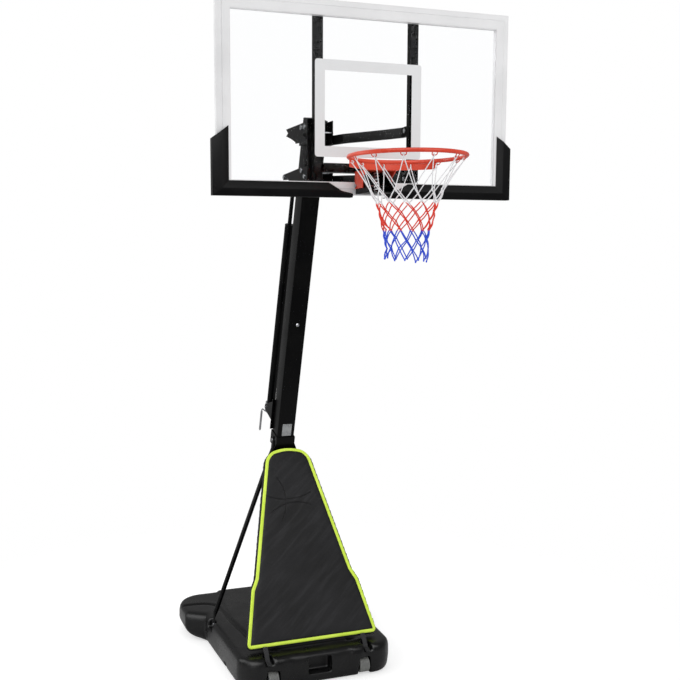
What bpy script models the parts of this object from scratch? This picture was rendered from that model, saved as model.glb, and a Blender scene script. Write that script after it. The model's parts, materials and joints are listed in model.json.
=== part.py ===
"""Portable basketball stand: filled base, leaning pole, crank jack, lift arms and breakaway rim.

Metres, +Z up. The origin is the middle of the base's underside and the board faces -Y.
"""
import math

import bmesh
import bpy
from mathutils import Matrix, Vector

# Fits
GAP = 0.0003
BORE_PLAY = 0.0008
ROUND_STEPS = 12

# Board
BOARD_FACE_Y = -1.100
BOARD_BOTTOM_Z = 2.501
BOARD_WIDTH = 1.370
BOARD_HEIGHT = 0.812
FRAME_DEPTH = 0.026
FRAME_SIDE = 0.0624
FRAME_TOP = 0.0654
FRAME_BOTTOM = 0.0559
PANEL_SETBACK = 0.006
PANEL_THICKNESS = 0.004
PANEL_BITE = 0.008
TARGET_WIDTH = 0.501
TARGET_HEIGHT = 0.408
TARGET_BAND = 0.050
TARGET_RISE = 0.161
TARGET_THICKNESS = 0.0006
PAD_LEG_RISE = 0.249
PAD_FACE = 0.0118
PAD_SIDE_SKIRT = 0.021
PAD_FOOT_SKIRT = 0.0105
PAD_OVERLAP = 0.051
PAD_LEDGE_DROP = 0.0035
PAD_LEG_END = 0.078
PAD_SLANT = 0.110
REAR_BAR_X = 0.2255
REAR_BAR_WIDTH = 0.039
REAR_BAR_DEPTH = 0.030
REAR_BAR_WALL = 0.002
CROSSBAR_RISE = 0.097
CROSSBAR_HEIGHT = 0.039

# Rim and net
RIM_RISE = 0.131
RIM_REACH = 0.374
RIM_RADIUS = 0.2335
RIM_ROD = 0.0085
NET_LOOPS = 12
NET_RADIUS = 0.222
NET_NECK_RADIUS = 0.096
NET_LENGTH = 0.392
NET_NECK_DEPTH = 0.290
NET_TAPER = 1.39
NET_ROWS = 9
NET_CORD = 0.006
HOOK_ROD = 0.002
HOOK_DROP = 0.011
RIM_HINGE_SETBACK = 0.020
RIM_HINGE_RISE = 0.039
MOUNT_HALF_WIDTH = 0.062
MOUNT_PLATE = 0.006
MOUNT_TOP_RISE = 0.119
MOUNT_FOOT_RISE = 0.004
MOUNT_REACH = 0.135
STEEL_SHEET = 0.004
BRACKET_HALF_WIDTH = 0.070
BRACKET_TOP_RISE = 0.100
FLANGE_FOOT_RISE = 0.026
FLANGE_REACH = 0.090
APRON_ANGLE = 56.0
SPRING_REACH = 0.075
SPRING_RADIUS = 0.014
SPRING_WIRE = 0.003
SPRING_TURNS = 6

# Lift arms
HEAD_PIVOT_Y = -0.398
HEAD_PIVOT_Z = 2.880
PIVOT_SPACING = 0.212
BOARD_PIVOT_SETBACK = 0.090
BOARD_PIVOT_RISE = 0.296
CHANNEL_HALF_WIDTH = 0.0585
CHANNEL_WALL = 0.004
CHANNEL_FRONT = 0.135
CHANNEL_BOLT_REACH = 0.120
CHANNEL_BOLT_SHANK = 0.004
CHANNEL_BOLT_HEAD = 0.009
CHANNEL_BOLT_CLEARANCE = 0.004
UPPER_CHANNEL_DEPTH = 0.092
UPPER_CHANNEL_RISE = 0.020
UPPER_CHANNEL_TAIL = 0.238
UPPER_WEB_START = 0.085
LOWER_CHANNEL_DEPTH = 0.080
LOWER_CHANNEL_RISE = 0.014
LOWER_WEB_START = 0.170
LOWER_WEB_LENGTH = 0.050
TAIL_MARGIN = 0.014
PIVOT_HEAD = 0.013
PIVOT_SLEEVE = 0.012
ARM_THICKNESS = 0.016
ARM_HEIGHT = 0.045
ARM_SPREAD_X = 0.240
ARM_END = 0.010
UPPER_ARM_DROP = 0.070
LOWER_ARM_DROP = 0.050
PIVOT_SHANK = 0.006
HINGE_SHANK = 0.005
LUG_SHEET = 0.003
LUG_SLOT = 0.047
LUG_SETBACK = 0.030
LUG_RADIUS = 0.019

# Pole
POLE_LEAN = math.radians(17.1)
POLE_FOOT_Y = 0.453
POLE_SIDE = 0.100
POLE_WALL = 0.0028
POLE_START = 0.045
POLE_JOINT = 1.915
POLE_TOP_Z = 2.905
SWAGE_LENGTH = 0.100
JOINT_BOLT = 1.968
CAP_HEIGHT = 0.012

# Braces
COLLAR_Z = 1.190
COLLAR_HEIGHT = 0.080
COLLAR_FLARE = 0.030
COLLAR_FLARE_DROP = 0.030
BRACE_RADIUS = 0.014
BRACE_TAB = 0.006
BRACE_FOOT_INSET = 0.029
BRACE_FOOT_Y = 0.077
BRACE_FOOT_Z = 0.140

# Jack
JACK_FOOT_Y = 0.305
JACK_FOOT_Z = 1.345
JACK_PIN_LEVER = 0.273
JACK_PIN_DROP = 0.013
JACK_TUBE_RADIUS = 0.025
JACK_TUBE_WALL = 0.002
JACK_TUBE_LENGTH = 1.120
JACK_BLOCK = 0.030
JACK_ROD_RADIUS = 0.011
JACK_ROD_FOOT = 0.600
SCREW_RADIUS = 0.0065
SCREW_TOP = 0.950
JACK_PLATE_HALF_WIDTH = 0.064
CRANK_ROD = 0.004
CRANK_DROP = 0.053
CRANK_SLANT = 0.034
CRANK_ARM = 0.152
CRANK_REACH = 0.153
GRIP_RADIUS = 0.0065
GRIP_LENGTH = 0.125
JAW_WIDTH = 0.020
JAW_WALL = 0.009
JAW_LIP_PLAY = 0.002

# Base
BASE_LENGTH = 1.060
BASE_FRONT_WIDTH = 0.860
BASE_WAIST_WIDTH = 0.904
BASE_REAR_WIDTH = 1.110
BASE_WAIST_Y = 0.165
BASE_LOBE_Y = 0.215
BASE_HEIGHT = 0.170
BASE_FRONT_CORNER = 0.110
BASE_WAIST_CORNER = 0.030
BASE_LOBE_CORNER = 0.045
BASE_REAR_CORNER = 0.150
BASE_WALL = 0.008
BASE_EDGE = 0.018
RECESS_HALF_WIDTH = 0.065
RECESS_LOW = 0.053
RECESS_HIGH = 0.139
RECESS_DEPTH = 0.060
SOCKET_PLAY = 0.0010
WHEEL_X = 0.257
WHEEL_SETBACK = 0.040
WHEEL_RADIUS = 0.042
WHEEL_WIDTH = 0.055
WHEEL_LIFT = 0.008
WHEEL_PLAY = 0.006
AXLE_RADIUS = 0.006
CAP_Y = 0.100
CAP_RADIUS = 0.034
CAP_RISE = 0.010
PLUG_RADIUS = 0.024
PLUG_DEPTH = 0.020
WATER_LEVEL = 0.145

# Pole pad
PAD_LEAN = math.radians(24.57)
PAD_THICKNESS = 0.030
PAD_CROWN = 0.006
PAD_BORDER = 0.018
PAD_HALF_WIDTHS = ((0.0, 0.360), (0.285, 0.299), (0.345, 0.268), (1.020, 0.114))
PAD_TOP = 1.044
PAD_CORNER = 0.030
PAD_FLARE_RADIUS = 0.040
PAD_SHOULDER_RADIUS = 0.060
PAD_APEX_RADIUS = 0.160
PAD_RIM_INSET = 0.018

# Places worked out from the sizes above
FRAME_BACK_Y = BOARD_FACE_Y + FRAME_DEPTH
BOARD_TOP_Z = BOARD_BOTTOM_Z + BOARD_HEIGHT
PANEL_FRONT_Y = BOARD_FACE_Y + PANEL_SETBACK
PANEL_BACK_Y = PANEL_FRONT_Y + PANEL_THICKNESS
BAR_FRONT_Y = FRAME_BACK_Y + GAP
BAR_BACK_Y = BAR_FRONT_Y + REAR_BAR_DEPTH
RIM_Y = BOARD_FACE_Y - RIM_REACH
RIM_Z = BOARD_BOTTOM_Z + RIM_RISE
RIM_HINGE = Vector((0.0, BOARD_FACE_Y - RIM_HINGE_SETBACK, BOARD_BOTTOM_Z + RIM_HINGE_RISE))
UPPER_PIVOT = Vector((0.0, HEAD_PIVOT_Y, HEAD_PIVOT_Z))
LOWER_PIVOT = Vector((0.0, HEAD_PIVOT_Y, HEAD_PIVOT_Z - PIVOT_SPACING))
UPPER_HINGE = Vector((0.0, BOARD_FACE_Y + BOARD_PIVOT_SETBACK, BOARD_BOTTOM_Z + BOARD_PIVOT_RISE))
LOWER_HINGE = UPPER_HINGE - Vector((0.0, 0.0, PIVOT_SPACING))
JACK_FOOT = Vector((0.0, JACK_FOOT_Y, JACK_FOOT_Z))
JACK_PIN = LOWER_PIVOT + Vector((0.0, JACK_PIN_LEVER, -JACK_PIN_DROP))
JACK_TILT = math.atan2(JACK_FOOT.y - JACK_PIN.y, JACK_PIN.z - JACK_FOOT.z)
JACK_LENGTH = (JACK_PIN - JACK_FOOT).length
LOWER_CHANNEL_TAIL = JACK_PIN_LEVER + TAIL_MARGIN
POLE_HALF = POLE_SIDE / 2
POLE_END = POLE_TOP_Z / math.cos(POLE_LEAN)
TANK_TAPER = (BASE_WAIST_WIDTH - BASE_FRONT_WIDTH) / 2 / (BASE_WAIST_Y + BASE_LENGTH / 2)
BRACE_FOOT_X = BASE_FRONT_WIDTH / 2 + TANK_TAPER * (BRACE_FOOT_Y + BASE_LENGTH / 2) - BRACE_FOOT_INSET

# A channel side's lower edge behind its pivot, in shares of the tail's reach and of the depth
UPPER_SIDE_EDGE = ((0.0, 1.0), (0.08, 0.79), (0.38, 0.76), (0.40, 0.66), (0.67, 0.41), (1.0, 0.17), (0.87, 0.04))
LOWER_SIDE_EDGE = ((0.28, 1.0), (0.73, 0.38), (1.0, 0.34))

# Finishes: colour, roughness, metallic
FINISHES = {
    "white_steel": ((0.80, 0.80, 0.82), 0.45, 0.0),
    "clear_plastic": ((0.82, 0.86, 0.90), 0.08, 0.0),
    "white_print": ((0.86, 0.87, 0.88), 0.50, 0.0),
    "black_plastic": ((0.020, 0.020, 0.022), 0.50, 0.0),
    "black_steel": ((0.018, 0.018, 0.020), 0.38, 0.0),
    "orange_steel": ((0.78, 0.13, 0.07), 0.35, 0.0),
    "zinc": ((0.62, 0.63, 0.65), 0.32, 1.0),
    "net_cord": ((0.80, 0.80, 0.82), 0.85, 0.0),
    "grey_plastic": ((0.22, 0.22, 0.23), 0.55, 0.0),
    "tank_plastic": ((0.030, 0.031, 0.034), 0.55, 0.0),
    "water": ((0.30, 0.42, 0.50), 0.05, 0.0),
    "pad_vinyl": ((0.042, 0.042, 0.044), 0.60, 0.0),
}

# Local outline axes: the outline's two coordinates and the direction of its thickness
OUTLINE_AXES = {
    "x": Matrix(((0, 0, 1, 0), (1, 0, 0, 0), (0, 1, 0, 0), (0, 0, 0, 1))),
    "y": Matrix(((1, 0, 0, 0), (0, 0, -1, 0), (0, 1, 0, 0), (0, 0, 0, 1))),
    "z": Matrix.Identity(4),
}
ALONG_X = Matrix.Rotation(math.pi / 2, 4, "Y")


def clear_scene():
    """Remove every object that the file starts with."""
    for item in list(bpy.data.objects):
        bpy.data.objects.remove(item, do_unlink=True)


def new_collection(name):
    """Return a new collection linked to the scene."""
    collection = bpy.data.collections.new(name)
    bpy.context.scene.collection.children.link(collection)
    return collection


clear_scene()
PARTS = new_collection("basketball_stand")
CUTTERS = new_collection("cutters")


def paint(item, finish):
    """Give an object its own Principled material."""
    colour, roughness, metallic = FINISHES[finish]
    material = bpy.data.materials.new(item.name + "_" + finish)
    material.use_nodes = True
    shader = material.node_tree.nodes["Principled BSDF"]
    shader.inputs["Base Color"].default_value = (*colour, 1.0)
    shader.inputs["Roughness"].default_value = roughness
    shader.inputs["Metallic"].default_value = metallic
    item.data.materials.clear()
    item.data.materials.append(material)


def place(name, mesh, finish, parent=None, keep_world=False):
    """Link a mesh as a painted part, or as a hidden cutter when it has no finish."""
    item = bpy.data.objects.new(name, mesh)
    if finish:
        PARTS.objects.link(item)
        paint(item, finish)
    else:
        CUTTERS.objects.link(item)
        item.hide_render = True
        item.display_type = "WIRE"
    if parent:
        item.parent = parent
        if keep_world:
            item.matrix_parent_inverse = parent.matrix_basis.inverted()
    return item


def pivot(name, location, lean=0.0):
    """Return an empty on a joint's axis, or at the foot of a leaning piece."""
    empty = bpy.data.objects.new(name, None)
    empty.matrix_basis = Matrix.Translation(location) @ Matrix.Rotation(lean, 4, "X")
    PARTS.objects.link(empty)
    return empty


def box_mesh(name, low, high):
    """Return a box between two corners."""
    size = [b - a for a, b in zip(low, high)]
    middle = [(a + b) / 2 for a, b in zip(low, high)]
    bm = bmesh.new()
    matrix = Matrix.Translation(middle) @ Matrix.Diagonal((*size, 1.0))
    bmesh.ops.create_cube(bm, size=1.0, matrix=matrix)
    mesh = bpy.data.meshes.new(name)
    bm.to_mesh(mesh)
    bm.free()
    return mesh


def box(name, low, high, finish=None, parent=None, keep_world=False):
    """Place a box between two corners."""
    return place(name, box_mesh(name, low, high), finish, parent, keep_world)


def curve_to_mesh(curve, matrix):
    """Return a curve's closed, welded mesh in the given place."""
    guide = bpy.data.objects.new(curve.name + "_guide", curve)
    PARTS.objects.link(guide)
    depsgraph = bpy.context.evaluated_depsgraph_get()
    mesh = bpy.data.meshes.new_from_object(guide.evaluated_get(depsgraph))
    mesh.transform(matrix @ guide.matrix_world)
    bpy.data.objects.remove(guide)
    bm = bmesh.new()
    bm.from_mesh(mesh)
    bmesh.ops.remove_doubles(bm, verts=bm.verts, dist=0.00001)
    bm.to_mesh(mesh)
    bm.free()
    return mesh


def outline_mesh(name, loops, low, high, axis):
    """Return a flat outline with holes, as thick as low to high along the axis."""
    curve = bpy.data.curves.new(name, "CURVE")
    curve.dimensions = "2D"
    curve.fill_mode = "BOTH"
    curve.extrude = (high - low) / 2
    for loop in loops:
        spline = curve.splines.new("POLY")
        spline.points.add(len(loop) - 1)
        for point, (a, b) in zip(spline.points, loop):
            point.co = (a, b, 0.0, 1.0)
        spline.use_cyclic_u = True
    turn = OUTLINE_AXES[axis]
    middle = (low + high) / 2
    shift = Matrix.Translation(Vector([middle if letter == axis else 0.0 for letter in "xyz"]))
    return curve_to_mesh(curve, shift @ turn)


def sheet(name, loops, low, high, axis, finish=None, parent=None, keep_world=False):
    """Place a flat outline with holes."""
    return place(name, outline_mesh(name, loops, low, high, axis), finish, parent, keep_world)


def wire_mesh(name, points, radius, sides=2, closed=False):
    """Return a round rod along a list of points."""
    curve = bpy.data.curves.new(name, "CURVE")
    curve.dimensions = "3D"
    curve.bevel_depth = radius
    curve.bevel_resolution = sides
    curve.use_fill_caps = True
    spline = curve.splines.new("POLY")
    spline.points.add(len(points) - 1)
    for point, place_at in zip(spline.points, points):
        point.co = (*place_at, 1.0)
    spline.use_cyclic_u = closed
    return curve_to_mesh(curve, Matrix.Identity(4))


def turned(name, profile, finish=None, parent=None, matrix=None, keep_world=False, steps=ROUND_STEPS):
    """Turn a profile of (radius, height) points about its own Z axis."""
    mesh = bpy.data.meshes.new(name)
    edges = [(i, i + 1) for i in range(len(profile) - 1)]
    if profile[0][0] > 0:
        edges.append((len(profile) - 1, 0))
    mesh.from_pydata([(radius, 0.0, height) for radius, height in profile], edges, [])
    item = place(name, mesh, finish, parent, keep_world)
    if matrix:
        item.matrix_basis = matrix
    screw = item.modifiers.new("turn", "SCREW")
    screw.steps = steps
    screw.render_steps = steps
    screw.use_merge_vertices = True
    screw.merge_threshold = 0.00001
    screw.use_smooth_shade = True
    return item


def shade(item, angle=35.0):
    """Shade a round mesh smooth, with its sharp edges kept."""
    item.data.shade_smooth()
    item.data.set_sharp_from_angle(angle=math.radians(angle))


def combine(item, other, operation):
    """Join or cut an object with another one, which becomes a hidden cutter."""
    step = item.modifiers.new(operation.lower() + "_" + other.name, "BOOLEAN")
    step.operation = operation
    step.solver = "EXACT"
    step.object = other


def cut(item, *others):
    """Cut each of the other shapes from an object."""
    for other in others:
        combine(item, other, "DIFFERENCE")


def fuse(item, *others):
    """Join each of the other shapes to an object."""
    for other in others:
        combine(item, other, "UNION")


def circle(centre, radius, count=ROUND_STEPS):
    """Return the corners of a round outline."""
    angles = [2 * math.pi * i / count for i in range(count)]
    return [(centre[0] + radius * math.cos(a), centre[1] + radius * math.sin(a)) for a in angles]


def rectangle(low, high):
    """Return the corners of a rectangle."""
    return [(low[0], low[1]), (high[0], low[1]), (high[0], high[1]), (low[0], high[1])]


def arc(centre, radius, start, end, count):
    """Return points along an arc, its angles in degrees."""
    angles = [math.radians(start + (end - start) * i / count) for i in range(count + 1)]
    return [(centre[0] + radius * math.cos(a), centre[1] + radius * math.sin(a)) for a in angles]


def rounded(corners, radii, count=4):
    """Round each corner of an outline with its own radius."""
    points = []
    for i, (corner, radius) in enumerate(zip(corners, radii)):
        here = Vector(corner)
        back = (Vector(corners[i - 1]) - here).normalized()
        ahead = (Vector(corners[(i + 1) % len(corners)]) - here).normalized()
        half = back.angle(ahead) / 2
        start = here + back * radius / math.tan(half)
        end = here + ahead * radius / math.tan(half)
        centre = here + (back + ahead).normalized() * radius / math.sin(half)
        for k in range(count + 1):
            spoke = (start - centre).lerp(end - centre, k / count).normalized()
            points.append(tuple(centre + spoke * radius))
    return points


def bolt(name, low, high, shank, head, centre, finish, parent=None, spacers=()):
    """Place a bolt with a head and a nut along X, its grip from low to high."""
    cap = shank * 0.9
    profile = [(0.0, high + cap), (head, high + cap), (head, high + GAP), (shank, high + GAP)]
    for near, far, radius in spacers:
        profile += [(shank, far), (radius, far), (radius, near), (shank, near)]
    profile += [(shank, low - GAP), (head, low - GAP), (head, low - cap), (0.0, low - cap)]
    item = turned(name, profile, finish, parent, Matrix.Translation(centre) @ ALONG_X, parent is not None)
    return item


def bore(name, centre, radius, low, high, parent=None):
    """Return a hidden cylinder along X for a bolt's hole."""
    profile = [(0.0, high), (radius, high), (radius, low), (0.0, low)]
    return turned(name, profile, None, parent, Matrix.Translation(centre) @ ALONG_X)


def pole_y(z, offset=0.0):
    """Return the place of the leaning pole's middle, or of a face, at a height."""
    return POLE_FOOT_Y - z * math.tan(POLE_LEAN) + offset / math.cos(POLE_LEAN)


def draw_in(corners, inset):
    """Return an anticlockwise outline's corners with each edge moved inwards."""
    points = []
    for i, corner in enumerate(corners):
        back = (Vector(corner) - Vector(corners[i - 1])).normalized()
        ahead = (Vector(corners[(i + 1) % len(corners)]) - Vector(corner)).normalized()
        inward = Vector((-back.y, back.x))
        middle = (inward + Vector((-ahead.y, ahead.x))).normalized()
        points.append(tuple(Vector(corner) + middle * inset / middle.dot(inward)))
    return points


def base_outline(inset=0.0):
    """Return the tank's plan outline, with a wider lobe at each rear corner, drawn in by an inset."""
    end = BASE_LENGTH / 2
    right = [(BASE_FRONT_WIDTH / 2, -end), (BASE_WAIST_WIDTH / 2, BASE_WAIST_Y), (BASE_REAR_WIDTH / 2, BASE_LOBE_Y),
             (BASE_REAR_WIDTH / 2, end)]
    corners = right + [(-x, y) for x, y in right[::-1]]
    radii = [BASE_FRONT_CORNER - inset, BASE_WAIST_CORNER + inset, BASE_LOBE_CORNER - inset,
             BASE_REAR_CORNER - inset]
    return rounded(draw_in(corners, inset), radii + radii[::-1], 5)


def base_pockets(pole_frame, margin):
    """Return the shapes cut into the tank from outside, each grown by a margin."""
    tag = "wall" if margin else "pocket"
    play = POLE_HALF + SOCKET_PLAY + margin
    pockets = [box("pole_" + tag, (-play, -play, POLE_START - GAP - margin), (play, play, 0.35), None, pole_frame)]
    front = -BASE_LENGTH / 2
    recess = RECESS_HALF_WIDTH + margin
    pockets.append(box(
        "front_" + tag, (-recess, front - 0.1, RECESS_LOW - margin), (recess, front + RECESS_DEPTH + margin,
                                                                       RECESS_HIGH + margin)))
    well = WHEEL_WIDTH / 2 + WHEEL_PLAY + margin
    well_depth = WHEEL_SETBACK + WHEEL_RADIUS + WHEEL_PLAY + margin
    well_top = WHEEL_LIFT + 2 * WHEEL_RADIUS + WHEEL_PLAY + margin
    notch_in = BRACE_FOOT_X - BRACE_TAB / 2 - GAP - margin
    notch_half = 0.040 + margin
    for side, hand in ((-1, "left"), (1, "right")):
        x = side * WHEEL_X
        pockets.append(box("wheel_" + hand + "_" + tag, (x - well, front - 0.1, -0.1),
                           (x + well, front + well_depth, well_top)))
        near, far = sorted((side * notch_in, side * BASE_REAR_WIDTH))
        pockets.append(box("brace_" + hand + "_" + tag, (near, BRACE_FOOT_Y - notch_half, 0.112 - margin),
                           (far, BRACE_FOOT_Y + notch_half, BASE_HEIGHT + 0.1)))
    return pockets


def make_base(pole_frame):
    """Model the tank, its water and its filler cap."""
    tank = sheet("base_tank", [base_outline()], 0.0, BASE_HEIGHT, "z", "tank_plastic")
    edge = tank.modifiers.new("edge", "BEVEL")
    edge.width = BASE_EDGE
    edge.segments = 3
    edge.limit_method = "ANGLE"
    edge.angle_limit = math.radians(60)
    cut(tank, *base_pockets(pole_frame, 0.0))
    walls = base_pockets(pole_frame, BASE_WALL)
    cavity = sheet("tank_cavity", [base_outline(BASE_WALL)], BASE_WALL, BASE_HEIGHT - BASE_WALL, "z")
    cut(cavity, *walls)
    cut(tank, cavity)
    hole = [(0.0, BASE_HEIGHT + 0.01), (PLUG_RADIUS + BORE_PLAY, BASE_HEIGHT + 0.01),
            (PLUG_RADIUS + BORE_PLAY, BASE_HEIGHT - PLUG_DEPTH), (0.0, BASE_HEIGHT - PLUG_DEPTH)]
    cut(tank, turned("filler_hole", hole, matrix=Matrix.Translation((0.0, CAP_Y, 0.0)), steps=24))
    inset = BASE_WALL + GAP
    water = sheet("ballast_water", [base_outline(inset)], inset, WATER_LEVEL, "z", "water")
    cut(water, *base_pockets(pole_frame, inset + GAP))
    cap_pivot = pivot("filler_cap_axis", (0.0, CAP_Y, BASE_HEIGHT))
    profile = [(0.0, CAP_RISE), (CAP_RADIUS - 0.003, CAP_RISE), (CAP_RADIUS, CAP_RISE - 0.003), (CAP_RADIUS, GAP),
               (PLUG_RADIUS, GAP), (PLUG_RADIUS, -PLUG_DEPTH), (0.0, -PLUG_DEPTH)]
    turned("filler_cap", profile, "black_plastic", cap_pivot, steps=24)
    return tank


def make_wheels():
    """Model the two roll-away wheels and their axles."""
    y = -BASE_LENGTH / 2 + WHEEL_SETBACK
    z = WHEEL_LIFT + WHEEL_RADIUS
    half = WHEEL_WIDTH / 2
    axle_half = half + WHEEL_PLAY - GAP
    hub = AXLE_RADIUS + GAP
    for side, hand in ((-1, "left"), (1, "right")):
        centre = (side * WHEEL_X, y, z)
        profile = [(hub, half), (WHEEL_RADIUS - 0.004, half), (WHEEL_RADIUS, half - 0.004),
                   (WHEEL_RADIUS, 0.004 - half), (WHEEL_RADIUS - 0.004, -half), (hub, -half)]
        axis = pivot("wheel_" + hand + "_axis", centre)
        turned("wheel_" + hand, profile, "grey_plastic", axis, ALONG_X, steps=32)
        rod = [(0.0, axle_half), (AXLE_RADIUS, axle_half), (AXLE_RADIUS, -axle_half), (0.0, -axle_half)]
        turned("wheel_axle_" + hand, rod, "zinc", None, Matrix.Translation(centre) @ ALONG_X)


def make_pole(pole_frame):
    """Model the two pole tubes, the cap and the bolt at their joint."""
    half = POLE_HALF
    neck = half - POLE_WALL - GAP
    inner = neck - POLE_WALL
    lower = box("pole_lower", (-half, -half, POLE_START), (half, half, POLE_JOINT), "black_steel", pole_frame)
    swage = box("pole_swage", (-neck, -neck, POLE_JOINT - 0.02), (neck, neck, POLE_JOINT + SWAGE_LENGTH),
                None, pole_frame)
    fuse(lower, swage)
    cut(lower, box("pole_lower_bore", (-inner, -inner, 0.0), (inner, inner, POLE_END), None, pole_frame))
    upper = sheet("pole_upper", [rectangle((-half, -half), (half, half)),
                                 rectangle((POLE_WALL - half,) * 2, (half - POLE_WALL,) * 2)],
                  POLE_JOINT + GAP, POLE_END, "z", "black_steel", pole_frame)
    cap = box("pole_cap", (-half, -half, POLE_END + GAP), (half, half, POLE_END + CAP_HEIGHT),
              "black_plastic", pole_frame)
    plug = half - POLE_WALL - GAP
    fuse(cap, box("pole_cap_plug", (-plug, -plug, POLE_END - 0.02), (plug, plug, POLE_END + 0.005),
                  None, pole_frame))
    shank = 0.0045
    reach = half + GAP
    along_y = Matrix.Translation((0.0, 0.0, JOINT_BOLT)) @ Matrix.Rotation(math.pi / 2, 4, "X")
    profile = [(0.0, reach + 0.005), (0.007, reach + 0.005), (0.010, reach + 0.002), (0.010, reach),
               (shank, reach), (shank, -reach), (0.009, -reach), (0.009, -reach - 0.007),
               (0.0, -reach - 0.007)]
    turned("pole_joint_bolt", profile, "zinc", pole_frame, along_y)
    hole = [(0.0, 0.1), (shank + BORE_PLAY, 0.1), (shank + BORE_PLAY, -0.1), (0.0, -0.1)]
    drill = turned("pole_joint_bore", hole, None, pole_frame, along_y)
    cut(lower, drill)
    cut(upper, drill)
    return lower, upper


def make_collar_and_braces(pole_frame, lower_pole, tank):
    """Model the collar on the pole, the two braces and their bolts."""
    inner = POLE_HALF + GAP
    outer = inner + STEEL_SHEET
    middle = COLLAR_Z / math.cos(POLE_LEAN)
    loops = [rectangle((-outer, -outer), (outer, outer)), rectangle((-inner, -inner), (inner, inner))]
    collar = sheet("brace_collar", loops, middle - COLLAR_HEIGHT / 2, middle + COLLAR_HEIGHT / 2, "z",
                   "black_steel", pole_frame)
    foot = middle - COLLAR_HEIGHT / 2 - COLLAR_FLARE_DROP
    wide = outer + COLLAR_FLARE
    flare = [(-outer, middle), (-wide, foot), (wide, foot), (outer, middle)]
    fuse(collar, sheet("collar_flare", [flare], -outer, -inner, "y", None, pole_frame))
    bolt_at = Vector((0.0, pole_y(COLLAR_Z), COLLAR_Z))
    shank = 0.0045
    tab = BRACE_TAB / 2
    top_x = outer + GAP + tab
    drill = bore("collar_bore", bolt_at, shank + BORE_PLAY, -0.1, 0.1)
    cut(collar, drill)
    cut(lower_pole, drill)
    bolt("brace_collar_bolt", -top_x - tab, top_x + tab, shank, 0.010, bolt_at, "zinc")
    for side, hand in ((-1, "left"), (1, "right")):
        stations = [
            (BRACE_FOOT_X, BRACE_FOOT_Y, BRACE_FOOT_Z - 0.022, tab),
            (BRACE_FOOT_X, BRACE_FOOT_Y, BRACE_FOOT_Z + 0.040, tab),
            (BRACE_FOOT_X - 0.012, BRACE_FOOT_Y, BRACE_FOOT_Z + 0.080, BRACE_RADIUS),
            (top_x + 0.014, bolt_at.y, COLLAR_Z - 0.085, BRACE_RADIUS),
            (top_x, bolt_at.y, COLLAR_Z - 0.030, tab),
            (top_x, bolt_at.y, COLLAR_Z + 0.020, tab),
        ]
        brace = place("brace_" + hand, brace_mesh("brace_" + hand, stations, side), "black_steel")
        shade(brace)
        cut(brace, drill)
        foot = Vector((0.0, BRACE_FOOT_Y, BRACE_FOOT_Z))
        bolt_end = BRACE_FOOT_X - tab - GAP - BASE_WALL + 0.002
        low, high = sorted((side * (bolt_end - GAP), side * (BRACE_FOOT_X + 0.02)))
        foot_bore = bore("brace_foot_bore_" + hand, foot, 0.004 + BORE_PLAY, low, high)
        cut(brace, foot_bore)
        cut(tank, foot_bore)
        outside = BRACE_FOOT_X + tab + GAP
        profile = [(0.0, outside + 0.006), (0.009, outside + 0.006), (0.009, outside), (0.004, outside),
                   (0.004, bolt_end), (0.0, bolt_end)]
        flip = Matrix.Rotation(math.pi / 2 * side, 4, "Y")
        turned("brace_foot_bolt_" + hand, profile, "zinc", None, Matrix.Translation(foot) @ flip)


def brace_mesh(name, stations, side, count=12):
    """Loft a tube with flattened ends through level sections; each section is (x, y, z, half thickness)."""
    mesh = bpy.data.meshes.new(name)
    points = []
    for x, y, z, half in stations:
        for i in range(count):
            angle = 2 * math.pi * (i + 0.5) / count * side
            points.append((side * x + half * math.cos(angle), y + BRACE_RADIUS * math.sin(angle), z))
    faces = [list(range(count))[::-side]]
    for row in range(len(stations) - 1):
        for i in range(count):
            a = row * count + i
            b = row * count + (i + 1) % count
            faces.append([a, b, b + count, a + count][::side])
    last = (len(stations) - 1) * count
    faces.append([last + i for i in range(count)][::side])
    mesh.from_pydata(points, [], faces)
    bm = bmesh.new()
    bm.from_mesh(mesh)
    bmesh.ops.recalc_face_normals(bm, faces=bm.faces)
    bm.to_mesh(mesh)
    bm.free()
    return mesh


def make_head(upper_pole):
    """Model the two bolts through the pole that the lift arms turn on, with their spacers."""
    inside = POLE_HALF + GAP
    channel_inside = CHANNEL_HALF_WIDTH - CHANNEL_WALL - GAP
    spacers = ((inside, channel_inside, PIVOT_SLEEVE), (-channel_inside, -inside, PIVOT_SLEEVE))
    for level, centre in (("upper", UPPER_PIVOT), ("lower", LOWER_PIVOT)):
        bolt(level + "_pivot_bolt", -CHANNEL_HALF_WIDTH, CHANNEL_HALF_WIDTH, PIVOT_SHANK, PIVOT_HEAD, centre,
             "zinc", spacers=spacers)
        cut(upper_pole, bore(level + "_pivot_bore", centre, PIVOT_SHANK + BORE_PLAY, -0.1, 0.1))


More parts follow.
